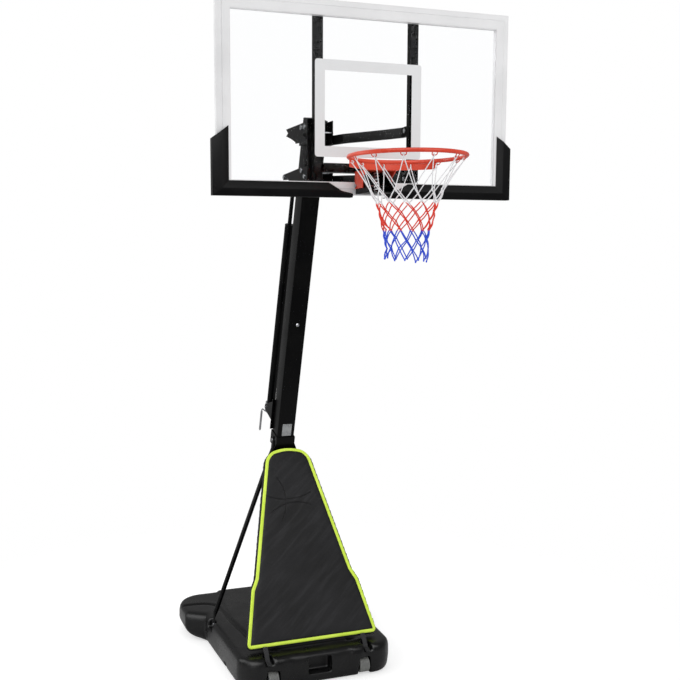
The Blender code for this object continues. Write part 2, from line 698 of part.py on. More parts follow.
def arm_outline():
    """Return the plan outline of a right-hand flat bar, from the channel to its board hinge."""
    inner_x = CHANNEL_HALF_WIDTH + GAP + ARM_THICKNESS / 2
    hinge_y = UPPER_HINGE.y
    path = [Vector((inner_x, HEAD_PIVOT_Y - 0.010)), Vector((inner_x, HEAD_PIVOT_Y - 0.115)),
            Vector((inner_x + 0.022, HEAD_PIVOT_Y - 0.210)), Vector((ARM_SPREAD_X - 0.040, hinge_y + 0.175)),
            Vector((ARM_SPREAD_X, hinge_y + 0.070)), Vector((ARM_SPREAD_X, hinge_y - ARM_END))]
    left, right = [], []
    for i, point in enumerate(path):
        before = (point - path[i - 1]).normalized() if i else None
        after = (path[i + 1] - point).normalized() if i < len(path) - 1 else None
        way = (before + after).normalized() if before and after else (before or after)
        normal = Vector((-way.y, way.x))
        stretch = ARM_THICKNESS / 2 / (normal.dot(Vector((-after.y, after.x))) if after and before else 1.0)
        left.append(tuple(point + normal * stretch))
        right.append(tuple(point - normal * stretch))
    return left + right[::-1]


def bar_rise(centre, hinge, drop):
    """Return the angle at which a lift arm's flat bars climb towards the board."""
    return math.atan2(hinge.z - centre.z + drop, centre.y - hinge.y)


def channel_bolt_place(centre, hinge, drop):
    """Return the place of a channel's cross bolt, a little above its flat bars."""
    rise = bar_rise(centre, hinge, drop)
    bar_top = centre.z - drop + CHANNEL_BOLT_REACH * math.tan(rise) + ARM_HEIGHT / 2 / math.cos(rise)
    return Vector((0.0, centre.y - CHANNEL_BOLT_REACH, bar_top + CHANNEL_BOLT_HEAD + CHANNEL_BOLT_CLEARANCE))


def channel_side(centre, bolt_at, depth, rise, tail, edge, top):
    """Return a channel side's outline from its lower edge and the points of its upper edge."""
    y, z = centre.yz
    front = y - CHANNEL_FRONT
    outline = [(front, z - depth)]
    outline += [(y + reach * tail, z - low * depth) for reach, low in edge]
    outline += [(y + reach, z + high) for reach, high in top]
    outline.append((front, max(z + rise, bolt_at.z + CHANNEL_BOLT_HEAD + CHANNEL_BOLT_CLEARANCE)))
    return outline


def make_arm(level, centre, hinge, drop, outline, web, tail_pin, axis):
    """Model one lift arm: its channel, its two flat bars and the cross bolt through the channel."""
    half = CHANNEL_HALF_WIDTH
    wall = CHANNEL_WALL
    bolt_at = channel_bolt_place(centre, hinge, drop)
    holes = [circle(centre.yz, PIVOT_SHANK + BORE_PLAY), circle(bolt_at.yz, CHANNEL_BOLT_SHANK + BORE_PLAY)]
    if tail_pin:
        holes.append(circle(tail_pin.yz, PIVOT_SHANK + BORE_PLAY))
    loops = [outline] + holes
    web_start, web_end, web_top = web
    lap = wall / 4
    channel = sheet(level + "_channel", loops, half - wall, half, "x", "black_steel", axis, True)
    fuse(channel, sheet(level + "_channel_side", loops, -half, wall - half, "x", None, axis, True),
         box(level + "_channel_web", (lap - half, web_start, web_top - wall), (half - lap, web_end, web_top),
             None, axis, True))
    bolt(level + "_channel_bolt", -half, half, CHANNEL_BOLT_SHANK, CHANNEL_BOLT_HEAD, bolt_at, "zinc", axis)
    rise = bar_rise(centre, hinge, drop)
    for side, hand in ((-1, "left"), (1, "right")):
        plan = [(side * x, y) for x, y in arm_outline()]
        mesh = outline_mesh(level + "_arm_" + hand, [plan], -ARM_HEIGHT / 2, ARM_HEIGHT / 2, "z")
        mesh.transform(Matrix.Translation(hinge) @ Matrix.Rotation(-rise, 4, "X") @ Matrix.Translation(
            (0.0, -hinge.y, 0.0)))
        arm = place(level + "_arm_" + hand, mesh, "black_steel", axis, True)
        low, high = sorted((side * (ARM_SPREAD_X - 0.03), side * (ARM_SPREAD_X + 0.03)))
        cut(arm, bore(level + "_arm_bore_" + hand, hinge, HINGE_SHANK + BORE_PLAY, low, high))


def make_arms():
    """Model the upper and lower lift arms and the jack's cross pin."""
    upper_axis = pivot("upper_arm_axis", UPPER_PIVOT)
    lower_axis = pivot("lower_arm_axis", LOWER_PIVOT)
    y, z = UPPER_PIVOT.yz
    tail, rise = UPPER_CHANNEL_TAIL, UPPER_CHANNEL_RISE
    bolt_at = channel_bolt_place(UPPER_PIVOT, UPPER_HINGE, UPPER_ARM_DROP)
    outline = channel_side(UPPER_PIVOT, bolt_at, UPPER_CHANNEL_DEPTH, rise, tail, UPPER_SIDE_EDGE, [(tail, rise)])
    web = (y + UPPER_WEB_START, y + tail - 2 * CHANNEL_WALL, z + rise)
    make_arm("upper", UPPER_PIVOT, UPPER_HINGE, UPPER_ARM_DROP, outline, web, None, upper_axis)

    y, z = LOWER_PIVOT.yz
    tail, rise = LOWER_CHANNEL_TAIL, LOWER_CHANNEL_RISE
    bolt_at = channel_bolt_place(LOWER_PIVOT, LOWER_HINGE, LOWER_ARM_DROP)
    top = [(tail, TAIL_MARGIN - JACK_PIN_DROP), (2 * PIVOT_HEAD, rise)]
    outline = channel_side(LOWER_PIVOT, bolt_at, LOWER_CHANNEL_DEPTH, rise, tail, LOWER_SIDE_EDGE, top)
    web = (y + LOWER_WEB_START, y + LOWER_WEB_START + LOWER_WEB_LENGTH, z)
    make_arm("lower", LOWER_PIVOT, LOWER_HINGE, LOWER_ARM_DROP, outline, web, JACK_PIN, lower_axis)
    bolt("jack_cross_pin", -CHANNEL_HALF_WIDTH, CHANNEL_HALF_WIDTH, PIVOT_SHANK, 0.010, JACK_PIN, "zinc",
         lower_axis)


def make_jack():
    """Model the jack: bracket, bearing block, tube, screw, rod, crank and grip."""
    rear = POLE_HALF + GAP
    collar_top = COLLAR_Z + COLLAR_HEIGHT / 2 * math.cos(POLE_LEAN) + (rear + STEEL_SHEET) * math.sin(POLE_LEAN)
    low_z, high_z = collar_top + 0.004, JACK_FOOT_Z + 0.080
    block = JACK_BLOCK - 0.004
    inside = block + GAP
    outside = inside + STEEL_SHEET
    hole = circle(JACK_FOOT.yz, PIVOT_SHANK + BORE_PLAY)
    side_outline = [(pole_y(low_z, rear), low_z)] + arc(JACK_FOOT.yz, 0.020, -70, 100, 6)
    side_outline.append((pole_y(high_z, rear), high_z))
    web = [(pole_y(low_z, rear), low_z), (pole_y(low_z, rear + STEEL_SHEET), low_z),
           (pole_y(high_z, rear + STEEL_SHEET), high_z), (pole_y(high_z, rear), high_z)]
    bracket = sheet("jack_bracket", [side_outline, hole], inside, outside, "x", "black_steel")
    fuse(bracket, sheet("jack_bracket_side", [side_outline, hole], -outside, -inside, "x"),
         sheet("jack_bracket_web", [web], -JACK_PLATE_HALF_WIDTH, JACK_PLATE_HALF_WIDTH, "x"))

    tilt_axis = pivot("jack_tilt_axis", JACK_FOOT, JACK_TILT)
    bearing = box("jack_bearing", (-block, -0.022, -JACK_BLOCK), (block, 0.022, JACK_BLOCK), "zinc", tilt_axis)
    trunnion = [(0.0, outside + 0.006), (PIVOT_SHANK, outside + 0.006), (PIVOT_SHANK, -outside - 0.006),
                (0.0, -outside - 0.006)]
    fuse(bearing, turned("jack_trunnion", trunnion, None, tilt_axis, ALONG_X))
    screw_bore = [(0.0, 0.05), (SCREW_RADIUS + BORE_PLAY, 0.05), (SCREW_RADIUS + BORE_PLAY, -0.05), (0.0, -0.05)]
    cut(bearing, turned("jack_bearing_bore", screw_bore, None, tilt_axis))
    bottom = JACK_BLOCK + GAP
    wide = JACK_TUBE_RADIUS - JACK_TUBE_WALL
    tube = [(JACK_TUBE_RADIUS, JACK_TUBE_LENGTH), (JACK_TUBE_RADIUS, bottom), (wide, bottom),
            (wide, JACK_TUBE_LENGTH - 0.020), (JACK_ROD_RADIUS + GAP, JACK_TUBE_LENGTH - 0.020),
            (JACK_ROD_RADIUS + GAP, JACK_TUBE_LENGTH)]
    turned("jack_tube", tube, "black_steel", tilt_axis)
    screw = [(0.0, SCREW_TOP), (SCREW_RADIUS, SCREW_TOP), (SCREW_RADIUS, GAP - JACK_BLOCK),
             (0.0, GAP - JACK_BLOCK)]
    turned("jack_screw", screw, "zinc", tilt_axis, steps=12)

    neck = JACK_LENGTH - PIVOT_SHANK - GAP - JAW_WALL
    rod = [(0.0, neck), (JACK_ROD_RADIUS, neck), (JACK_ROD_RADIUS, JACK_ROD_FOOT + 0.015),
           (wide - GAP, JACK_ROD_FOOT + 0.015), (wide - GAP, JACK_ROD_FOOT), (SCREW_RADIUS + GAP, JACK_ROD_FOOT),
           (SCREW_RADIUS + GAP, neck - 0.04), (0.0, neck - 0.04)]
    rod_item = turned("jack_rod", rod, "zinc", tilt_axis)
    seat = PIVOT_SHANK + GAP
    pin_z = JACK_LENGTH
    back = seat + JAW_WALL
    jaw = [(-0.010, neck - 0.010), (back, neck - 0.010), (back, pin_z + seat + JAW_LIP_PLAY + JAW_WALL),
           (0.0, pin_z + seat + JAW_LIP_PLAY + JAW_WALL), (0.0, pin_z + seat + JAW_LIP_PLAY),
           (seat, pin_z + seat), (seat, pin_z - seat), (-0.010, pin_z - seat)]
    fuse(rod_item, sheet("jack_jaw", [jaw], -JAW_WIDTH / 2, JAW_WIDTH / 2, "x", None, tilt_axis))

    turn = 0.012
    elbow = -CRANK_DROP - CRANK_SLANT
    path = [(0.0, 0.0, -JACK_BLOCK - GAP), (0.0, 0.0, turn - CRANK_DROP), (0.0, turn, -CRANK_DROP),
            (0.0, CRANK_ARM - turn, elbow), (0.0, CRANK_ARM, elbow - turn),
            (0.0, CRANK_ARM, elbow - CRANK_REACH)]
    crank = place("crank_rod", wire_mesh("crank_rod", path, CRANK_ROD), "zinc", tilt_axis)
    shade(crank)
    grip_axis = pivot("crank_grip_axis", (0.0, CRANK_ARM, 0.0))
    grip_axis.parent = tilt_axis
    top = elbow - turn - 0.010
    low = top - GRIP_LENGTH
    sleeve = CRANK_ROD + GAP
    grip = [(sleeve, top), (GRIP_RADIUS, top), (GRIP_RADIUS, low), (sleeve, low)]
    turned("crank_grip", grip, "grey_plastic", grip_axis)


def make_board(axis):
    """Model the frame, clear panel, target square, corner pads, rear bars and hinge lugs."""
    half = BOARD_WIDTH / 2
    left, right = -half + FRAME_SIDE, half - FRAME_SIDE
    low, high = BOARD_BOTTOM_Z + FRAME_BOTTOM, BOARD_TOP_Z - FRAME_TOP
    frame = box("board_frame", (-half, BOARD_FACE_Y, BOARD_BOTTOM_Z), (half, FRAME_BACK_Y, BOARD_TOP_Z),
                "white_steel", axis, True)
    edge = frame.modifiers.new("edge", "BEVEL")
    edge.width = 0.004
    edge.segments = 2
    bite = PANEL_BITE
    cut(frame, box("frame_window", (left, BOARD_FACE_Y - 0.1, low), (right, FRAME_BACK_Y + 0.1, high),
                   None, axis, True),
        box("frame_groove", (left - bite, PANEL_FRONT_Y - GAP, low - bite),
            (right + bite, PANEL_BACK_Y + GAP, high + bite), None, axis, True))
    bite = PANEL_BITE - GAP
    box("clear_panel", (left - bite, PANEL_FRONT_Y, low - bite), (right + bite, PANEL_BACK_Y, high + bite),
        "clear_plastic", axis, True)

    square_low = BOARD_BOTTOM_Z + TARGET_RISE
    outer = rectangle((-TARGET_WIDTH / 2, square_low), (TARGET_WIDTH / 2, square_low + TARGET_HEIGHT))
    inner = rectangle((TARGET_BAND - TARGET_WIDTH / 2, square_low + TARGET_BAND),
                      (TARGET_WIDTH / 2 - TARGET_BAND, square_low + TARGET_HEIGHT - TARGET_BAND))
    print_back = PANEL_FRONT_Y - GAP
    sheet("target_square", [rounded(outer, [0.012] * 4, 3), inner], print_back - TARGET_THICKNESS, print_back,
          "y", "white_print", axis, True)

    for side, hand in ((-1, "left"), (1, "right")):
        make_corner_pad(side, hand, axis)
        make_rear_bar(side, hand, axis)
        make_hinge_bracket(side, hand, axis)
    bar_inside = REAR_BAR_X - REAR_BAR_WIDTH / 2 - GAP
    crossbar_low = BOARD_BOTTOM_Z + CROSSBAR_RISE
    outer = ((PANEL_BACK_Y + GAP, crossbar_low), (BAR_BACK_Y, crossbar_low + CROSSBAR_HEIGHT))
    inner = [[corner + REAR_BAR_WALL * way for corner in point] for point, way in zip(outer, (1, -1))]
    sheet("rear_crossbar", [rectangle(*outer), rectangle(*inner)], -bar_inside, bar_inside, "x",
          "black_steel", axis, True)


def make_corner_pad(side, hand, axis):
    """Model the soft guard round a lower corner of the board."""
    half = BOARD_WIDTH / 2
    outside = half + PAD_SIDE_SKIRT
    inside = half - PAD_OVERLAP
    bottom = BOARD_BOTTOM_Z - PAD_FOOT_SKIRT
    ledge = BOARD_BOTTOM_Z + FRAME_BOTTOM - PAD_LEDGE_DROP
    top = BOARD_BOTTOM_Z + PAD_LEG_RISE
    outline = [(outside, bottom), (outside, top - 0.027), (inside, top + 0.027), (inside, ledge),
               (PAD_LEG_END + PAD_SLANT, ledge), (PAD_LEG_END + PAD_SLANT * 0.45, ledge - 0.035),
               (PAD_LEG_END, ledge - 0.045), (PAD_LEG_END, bottom)]
    outline = [(side * x, z) for x, z in outline]
    pad = sheet("corner_pad_" + hand, [outline], BOARD_FACE_Y - GAP - PAD_FACE, FRAME_BACK_Y, "y",
                "black_plastic", axis, True)
    cut(pad, box("corner_pad_seat_" + hand, (-half - GAP, BOARD_FACE_Y - GAP, BOARD_BOTTOM_Z - GAP),
                 (half + GAP, FRAME_BACK_Y + 0.1, BOARD_TOP_Z + GAP), None, axis, True))


def make_rear_bar(side, hand, axis):
    """Model one upright tube behind the board."""
    half = REAR_BAR_WIDTH / 2
    x = side * REAR_BAR_X
    wall = REAR_BAR_WALL
    loops = [rectangle((x - half, BAR_FRONT_Y), (x + half, BAR_BACK_Y)),
             rectangle((x - half + wall, BAR_FRONT_Y + wall), (x + half - wall, BAR_BACK_Y - wall))]
    sheet("rear_bar_" + hand, loops, BOARD_BOTTOM_Z + 0.004, BOARD_TOP_Z - 0.004, "z", "black_steel", axis, True)


def make_hinge_bracket(side, hand, axis):
    """Model the lug strip behind one rear bar, and the two hinge pins through it."""
    sheet_front = BAR_BACK_Y + GAP
    sheet_back = sheet_front + LUG_SHEET
    inner = ARM_SPREAD_X - LUG_SLOT / 2
    outer = ARM_SPREAD_X + LUG_SLOT / 2
    ends = sorted((side * (inner - LUG_SHEET), side * (outer + LUG_SHEET)))
    strip = box("hinge_bracket_" + hand, (ends[0], sheet_front, LOWER_HINGE.z - LUG_SETBACK),
                (ends[1], sheet_back, UPPER_HINGE.z + LUG_SETBACK), "zinc", axis, True)
    for level, hinge in (("upper", UPPER_HINGE), ("lower", LOWER_HINGE)):
        y, z = hinge.yz
        outline = [(sheet_front + 0.001, z - LUG_RADIUS)] + arc((y, z), LUG_RADIUS, -90, 90, 8)
        outline.append((sheet_front + 0.001, z + LUG_RADIUS))
        loops = [outline, circle((y, z), HINGE_SHANK + BORE_PLAY)]
        for place_x, place_name in ((inner - LUG_SHEET, "inner"), (outer, "outer")):
            low, high = sorted((side * place_x, side * (place_x + LUG_SHEET)))
            fuse(strip, sheet("lug_" + level + "_" + place_name + "_" + hand, loops, low, high, "x", None,
                              axis, True))
        arm_in = ARM_SPREAD_X - ARM_THICKNESS / 2
        arm_out = ARM_SPREAD_X + ARM_THICKNESS / 2
        spans = [(inner + GAP, arm_in - GAP), (arm_out + GAP, outer - GAP)]
        sleeves = sorted((tuple(sorted((side * a, side * b))) + (0.009,) for a, b in spans), reverse=True)
        low, high = ends
        bolt("hinge_pin_" + level + "_" + hand, low, high, HINGE_SHANK, 0.010, Vector((0.0, y, z)), "zinc",
             axis, sleeves)


def make_rim_mount(axis):
    """Model the fixed rim mount, the hinge pin and the spring on its shelf."""
    back = BOARD_FACE_Y - GAP
    front = back - MOUNT_PLATE
    foot = BOARD_BOTTOM_Z + MOUNT_FOOT_RISE
    top = BOARD_BOTTOM_Z + MOUNT_TOP_RISE
    half = MOUNT_HALF_WIDTH
    wall = STEEL_SHEET
    mount = box("rim_mount", (-half, front, foot), (half, back, top), "black_steel", axis, True)
    reach = BOARD_FACE_Y - MOUNT_REACH
    boss = box("rim_mount_boss", (-half + 0.012, back - 0.002, BOARD_BOTTOM_Z + FRAME_BOTTOM + GAP),
               (half - 0.012, PANEL_FRONT_Y - GAP, top), None, axis, True)
    shelf = box("rim_mount_shelf", (-half, reach, foot), (half, front + 0.001, foot + wall), None, axis, True)
    outline = [(reach, foot), (front + 0.001, foot), (front + 0.001, foot + 0.090), (front - 0.033, foot + 0.075),
               (reach, foot + 0.034)]
    loops = [outline, circle(RIM_HINGE.yz, HINGE_SHANK + BORE_PLAY)]
    sides = [sheet("rim_mount_wall_right", loops, half - wall, half, "x", None, axis, True),
             sheet("rim_mount_wall_left", loops, -half, wall - half, "x", None, axis, True)]
    fuse(mount, boss, shelf, *sides)

    coil_low = foot + wall + GAP + SPRING_WIRE
    coil_high = BOARD_BOTTOM_Z + BRACKET_TOP_RISE - wall - GAP - SPRING_WIRE
    steps = SPRING_TURNS * 10
    centre_y = BOARD_FACE_Y - SPRING_REACH
    points = []
    for i in range(steps + 1):
        angle = 2 * math.pi * i / 10
        points.append((SPRING_RADIUS * math.cos(angle), centre_y + SPRING_RADIUS * math.sin(angle),
                       coil_low + (coil_high - coil_low) * i / steps))
    pitch_gap = (coil_high - coil_low) / SPRING_TURNS - 2 * SPRING_WIRE
    print("least gap between the rim spring's turns", round(pitch_gap, 4))
    spring = place("rim_spring", wire_mesh("rim_spring", points, SPRING_WIRE, 1), "zinc", axis, True)
    shade(spring, 60.0)


def make_rim(axis):
    """Model the moving bracket, the ring with its hooks, the hinge pin and the net."""
    half = BRACKET_HALF_WIDTH
    wall = STEEL_SHEET
    rear = BOARD_FACE_Y - 0.008
    top = BOARD_BOTTOM_Z + BRACKET_TOP_RISE
    centre = (0.0, RIM_Y)
    reach = math.degrees(math.asin(half / RIM_RADIUS))
    plate = [(half, rear)] + arc(centre, RIM_RADIUS, 90 - reach, 90 + reach, 6) + [(-half, rear)]
    bracket = sheet("rim_bracket", [plate], top - wall, top, "z", "orange_steel", axis, True)
    foot = BOARD_BOTTOM_Z + FLANGE_FOOT_RISE
    nose = BOARD_FACE_Y - FLANGE_REACH
    outline = [(rear, foot), (rear, top - 0.001), (nose - 0.045, top - 0.001), (nose, top - 0.030), (nose, foot)]
    loops = [outline, circle(RIM_HINGE.yz, HINGE_SHANK + BORE_PLAY)]
    sweep = APRON_ANGLE
    apron = arc(centre, RIM_RADIUS + wall / 2, 90 - sweep, 90 + sweep, 24)
    apron += arc(centre, RIM_RADIUS - wall / 2, 90 + sweep, 90 - sweep, 24)
    fuse(bracket, sheet("rim_flange_right", loops, half - wall, half, "x", None, axis, True),
         sheet("rim_flange_left", loops, -half, wall - half, "x", None, axis, True),
         sheet("rim_apron", [apron], top - wall + 0.001, RIM_Z - RIM_ROD - GAP, "z", None, axis, True))
    bolt("rim_hinge_pin", -half, half, HINGE_SHANK, 0.009, RIM_HINGE, "zinc", axis)

    ring_path = [(x, y, RIM_Z) for x, y in circle(centre, RIM_RADIUS, 48)]
    ring = place("rim_ring", wire_mesh("rim_ring", ring_path, RIM_ROD, 2, True), "orange_steel", axis, True)
    shade(ring)
    hooks = bpy.data.meshes.new("rim_hooks")
    bm = bmesh.new()
    low = RIM_Z - RIM_ROD - HOOK_DROP + HOOK_ROD
    for i in range(NET_LOOPS):
        angle = 2 * math.pi * i / NET_LOOPS
        outward = Vector((math.cos(angle), math.sin(angle), 0.0))
        along = Vector((-outward.y, outward.x, 0.0))
        middle = Vector((0.0, RIM_Y, 0.0))
        ends = [(RIM_RADIUS - 0.003, -0.006, RIM_Z - 0.004), (NET_RADIUS, -0.005, low),
                (NET_RADIUS, 0.005, low), (RIM_RADIUS - 0.003, 0.006, RIM_Z - 0.004)]
        points = [middle + outward * r + along * t + Vector((0.0, 0.0, z)) for r, t, z in ends]
        hook = wire_mesh("hook", points, HOOK_ROD, 1)
        bm.from_mesh(hook)
        bpy.data.meshes.remove(hook)
    bm.to_mesh(hooks)
    bm.free()
    fuse(ring, place("rim_hooks", hooks, None, axis, True))
    make_net(axis, low - HOOK_ROD - GAP - NET_CORD / 2)


def net_radius(depth):
    """Return the net's radius at a depth below its hooks."""
    open_part = max(0.0, 1.0 - depth / NET_NECK_DEPTH)
    return NET_NECK_RADIUS + (NET_RADIUS - NET_NECK_RADIUS) * open_part ** NET_TAPER


def make_net(axis, top):
    """Model the net as a diamond lattice of cords in one piece."""
    bm = bmesh.new()
    rows = []
    for row in range(NET_ROWS + 1):
        depth = NET_LENGTH * row / NET_ROWS
        radius = net_radius(depth)
        ring = []
        for i in range(NET_LOOPS):
            angle = 2 * math.pi * (i + 0.5 * (row % 2)) / NET_LOOPS
            ring.append(bm.verts.new((radius * math.cos(angle), RIM_Y + radius * math.sin(angle), top - depth)))
        rows.append(ring)
    for row in range(NET_ROWS - 1):
        for i in range(NET_LOOPS):
            near = i - 1 if row % 2 == 0 else i
            bm.faces.new((rows[row][i], rows[row + 1][near % NET_LOOPS], rows[row + 2][i],
                          rows[row + 1][(near + 1) % NET_LOOPS]))
    bmesh.ops.recalc_face_normals(bm, faces=bm.faces)
    mesh = bpy.data.meshes.new("net")
    bm.to_mesh(mesh)
    bm.free()
    net = place("net", mesh, "net_cord", axis, True)
    lattice = net.modifiers.new("cords", "WIREFRAME")
    lattice.thickness = NET_CORD
    lattice.offset = 0.0
    lattice.use_even_offset = True
    lattice.use_boundary = True
    lattice.use_replace = True


def make_pole_pad():
    """Model the padded shield that stands on the base and leans on the pole."""
    widths = [(height, half + PAD_BORDER) for height, half in PAD_HALF_WIDTHS]
    foot = -PAD_BORDER
    corners = [(-widths[0][1], foot), (widths[0][1], foot)]
    corners += [(half, height) for height, half in widths[1:]]
    corners.append((0.0, PAD_TOP + PAD_BORDER))
    corners += [(-half, height) for height, half in widths[:0:-1]]
    climb = [PAD_FLARE_RADIUS, PAD_FLARE_RADIUS, PAD_SHOULDER_RADIUS]
    outline = rounded(corners, [PAD_CORNER, PAD_CORNER, *climb, PAD_APEX_RADIUS, *climb[::-1]], 4)
    lean_cos, lean_sin = math.cos(PAD_LEAN), math.sin(PAD_LEAN)
    foot_z = BASE_HEIGHT + GAP + PAD_BORDER * lean_cos + PAD_THICKNESS * lean_sin
    top = max(height for _, height in outline)
    rear_top_z = foot_z + top * lean_cos - PAD_THICKNESS * lean_sin
    collar_face = -POLE_HALF - STEEL_SHEET - 2 * GAP
    foot_y = pole_y(rear_top_z, collar_face) - top * lean_sin - PAD_THICKNESS * lean_cos
    print("pole pad's foot", round(foot_y, 5), round(foot_z, 5))
    mesh = outline_mesh("pole_pad", [outline], 0.0, PAD_THICKNESS, "y")
    bm = bmesh.new()
    bm.from_mesh(mesh)
    bmesh.ops.dissolve_limit(bm, angle_limit=0.01, verts=bm.verts, edges=bm.edges)
    front = min(bm.faces, key=lambda face: face.calc_center_median().y)
    bmesh.ops.inset_region(bm, faces=[front], thickness=PAD_RIM_INSET, use_even_offset=True)
    bmesh.ops.translate(bm, verts=front.verts, vec=(0.0, -PAD_CROWN, 0.0))
    bmesh.ops.triangulate(bm, faces=bm.faces)
    bm.to_mesh(mesh)
    bm.free()
    mesh.transform(Matrix.Translation((0.0, foot_y, foot_z)) @ Matrix.Rotation(-PAD_LEAN, 4, "X"))
    place("pole_pad", mesh, "pad_vinyl")


def main():
    """Model the whole stand."""
    pole_frame = pivot("pole_frame", (0.0, POLE_FOOT_Y, 0.0), POLE_LEAN)
    tank = make_base(pole_frame)
    make_wheels()
    lower_pole, upper_pole = make_pole(pole_frame)
    make_collar_and_braces(pole_frame, lower_pole, tank)
    make_head(upper_pole)
    make_arms()
    make_jack()
    board_axis = pivot("board_axis", UPPER_HINGE)
    make_board(board_axis)
    make_rim_mount(board_axis)
    rim_axis = pivot("rim_axis", RIM_HINGE)
    make_rim(rim_axis)
    make_pole_pad()


main()
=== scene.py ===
"""Portable basketball stand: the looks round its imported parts.

Metres, +Z up. The board faces -Y, and the base stands on the floor round the origin.
"""

import json
import logging
import math
import random
from dataclasses import dataclass
from enum import Enum
from typing import ClassVar

import bmesh
import bpy
from mathutils import Euler, Matrix, Vector
from mathutils.bvhtree import BVHTree
from mathutils.kdtree import KDTree

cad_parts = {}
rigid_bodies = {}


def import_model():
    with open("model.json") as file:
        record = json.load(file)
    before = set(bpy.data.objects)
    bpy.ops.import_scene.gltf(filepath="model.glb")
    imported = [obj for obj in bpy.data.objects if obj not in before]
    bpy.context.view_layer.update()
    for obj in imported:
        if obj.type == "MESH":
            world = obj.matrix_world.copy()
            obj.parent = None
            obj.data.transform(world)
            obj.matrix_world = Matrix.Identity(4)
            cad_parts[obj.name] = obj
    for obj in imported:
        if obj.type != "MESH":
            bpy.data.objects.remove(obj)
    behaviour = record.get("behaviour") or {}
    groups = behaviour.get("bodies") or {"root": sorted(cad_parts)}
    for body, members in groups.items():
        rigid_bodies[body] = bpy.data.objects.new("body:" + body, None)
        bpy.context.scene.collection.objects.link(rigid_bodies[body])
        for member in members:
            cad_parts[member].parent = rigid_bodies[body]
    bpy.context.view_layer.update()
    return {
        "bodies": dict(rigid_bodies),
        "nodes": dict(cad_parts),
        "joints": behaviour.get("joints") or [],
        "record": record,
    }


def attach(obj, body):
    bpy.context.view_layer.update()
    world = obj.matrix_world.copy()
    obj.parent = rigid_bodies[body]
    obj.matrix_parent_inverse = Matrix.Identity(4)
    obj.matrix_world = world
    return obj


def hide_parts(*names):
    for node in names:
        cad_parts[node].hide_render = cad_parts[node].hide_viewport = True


LOG = logging.getLogger("basketball_stand")
Point = tuple[float, float, float]
Flat = tuple[float, float]
Colour = tuple[float, float, float]
Mesh = bmesh.types.BMesh
Socket = bpy.types.NodeSocket
TURN = 2 * math.pi
POLE_LEAN = math.radians(17.1)
POLE_FOOT_Y = 0.453
STRAP_X = 0.278


class Side(Enum):
    """The two sides of the stand, seen from the court."""

    LEFT = -1
    RIGHT = 1

    @property
    def hand(self) -> str:
        """Return the side's word in node names."""
        return self.name.lower()


class Axis(Enum):
    """The way a flat outline's thickness runs."""

    Y = Matrix(((1, 0, 0, 0), (0, 0, 1, 0), (0, 1, 0, 0), (0, 0, 0, 1)))
    Z = Matrix.Identity(4)


def painted(red: int, green: int, blue: int) -> Colour:
    """Turn a colour read as 0 to 255 into the linear numbers a shader takes."""
    return tuple((v / 255 / 12.92) if v <= 10 else ((v / 255 + 0.055) / 1.055) ** 2.4
                 for v in (red, green, blue))


# ---------------------------------------------------------------- mesh helpers


def pole_place() -> Matrix:
    """Return the matrix from the pole's own frame to the stand's."""
    return Matrix.Translation((0.0, POLE_FOOT_Y, 0.0)) @ Matrix.Rotation(POLE_LEAN, 4, "X")


def rectangle(left: float, right: float, low: float, high: float) -> list[Flat]:
    """Return the corners of a rectangle in order round it."""
    return [(left, low), (right, low), (right, high), (left, high)]


def slab(bm: Mesh, outline: list[Flat], low: float, high: float, axis: Axis) -> None:
    """Extrude a flat outline into a slab.

    Args:
        bm: The mesh being modelled.
        outline: The outline's two coordinates, in order round it.
        low: Where the thickness starts.
        high: Where the thickness ends.
        axis: The way the thickness runs.
    """
    face = bm.faces.new([bm.verts.new(axis.value @ Vector((u, v, low))) for u, v in outline])
    made = bmesh.ops.extrude_face_region(bm, geom=[face])
    far = [item for item in made["geom"] if isinstance(item, bmesh.types.BMVert)]
    bmesh.ops.translate(bm, verts=far, vec=axis.value.to_3x3() @ Vector((0.0, 0.0, high - low)))
    faces = {f for v in list(face.verts) + far for f in v.link_faces}
    bmesh.ops.recalc_face_normals(bm, faces=list(faces))


def block(bm: Mesh, low: Point, high: Point) -> list:
    """Add a box between two corners.

    Args:
        bm: The mesh being modelled.
        low: The lowest corner.
        high: The highest corner.

    Returns:
        The vertices of the box.
    """
    size = Vector(high) - Vector(low)
    place = Matrix.Translation((Vector(high) + Vector(low)) / 2) @ Matrix.Diagonal((*size, 1.0))
    return bmesh.ops.create_cube(bm, size=1.0, matrix=place)["verts"]


def turned(bm: Mesh, profile: list[Flat], place: Matrix, steps: int) -> None:
    """Spin a profile round the Z axis, then put it in place.

    Args:
        bm: The mesh being modelled.
        profile: The radius and height of each point along the profile.
        place: The matrix that takes the turned piece to its place.
        steps: The faces round it.
    """
    before = set(bm.verts)
    verts = [bm.verts.new((max(radius, 0.0), 0.0, height)) for radius, height in profile]
    edges = [bm.edges.new(pair) for pair in zip(verts, verts[1:])]
    bmesh.ops.spin(bm, geom=verts + edges, cent=(0, 0, 0), axis=(0, 0, 1), angle=TURN, steps=steps,
                   use_merge=True)
    bmesh.ops.remove_doubles(bm, verts=[v for v in bm.verts if v not in before], dist=1e-6)
    made = [v for v in bm.verts if v not in before]
    bmesh.ops.recalc_face_normals(bm, faces=list({f for v in made for f in v.link_faces}))
    bmesh.ops.transform(bm, matrix=place, verts=made)


def edge_loop(bm: Mesh, points: list[Point]) -> list:
    """Join points into a closed loop and return its edges."""
    verts = [bm.verts.new(point) for point in points]
    return [bm.edges.new(pair) for pair in zip(verts, verts[1:] + verts[:1])]


def bridge(bm: Mesh, loops: list[list], closed: bool) -> None:
    """Join each loop of edges to the next, and the last to the first where it is closed."""
    for first, second in zip(loops, loops[1:] + (loops[:1] if closed else [])):
        bmesh.ops.bridge_loops(bm, edges=first + second)


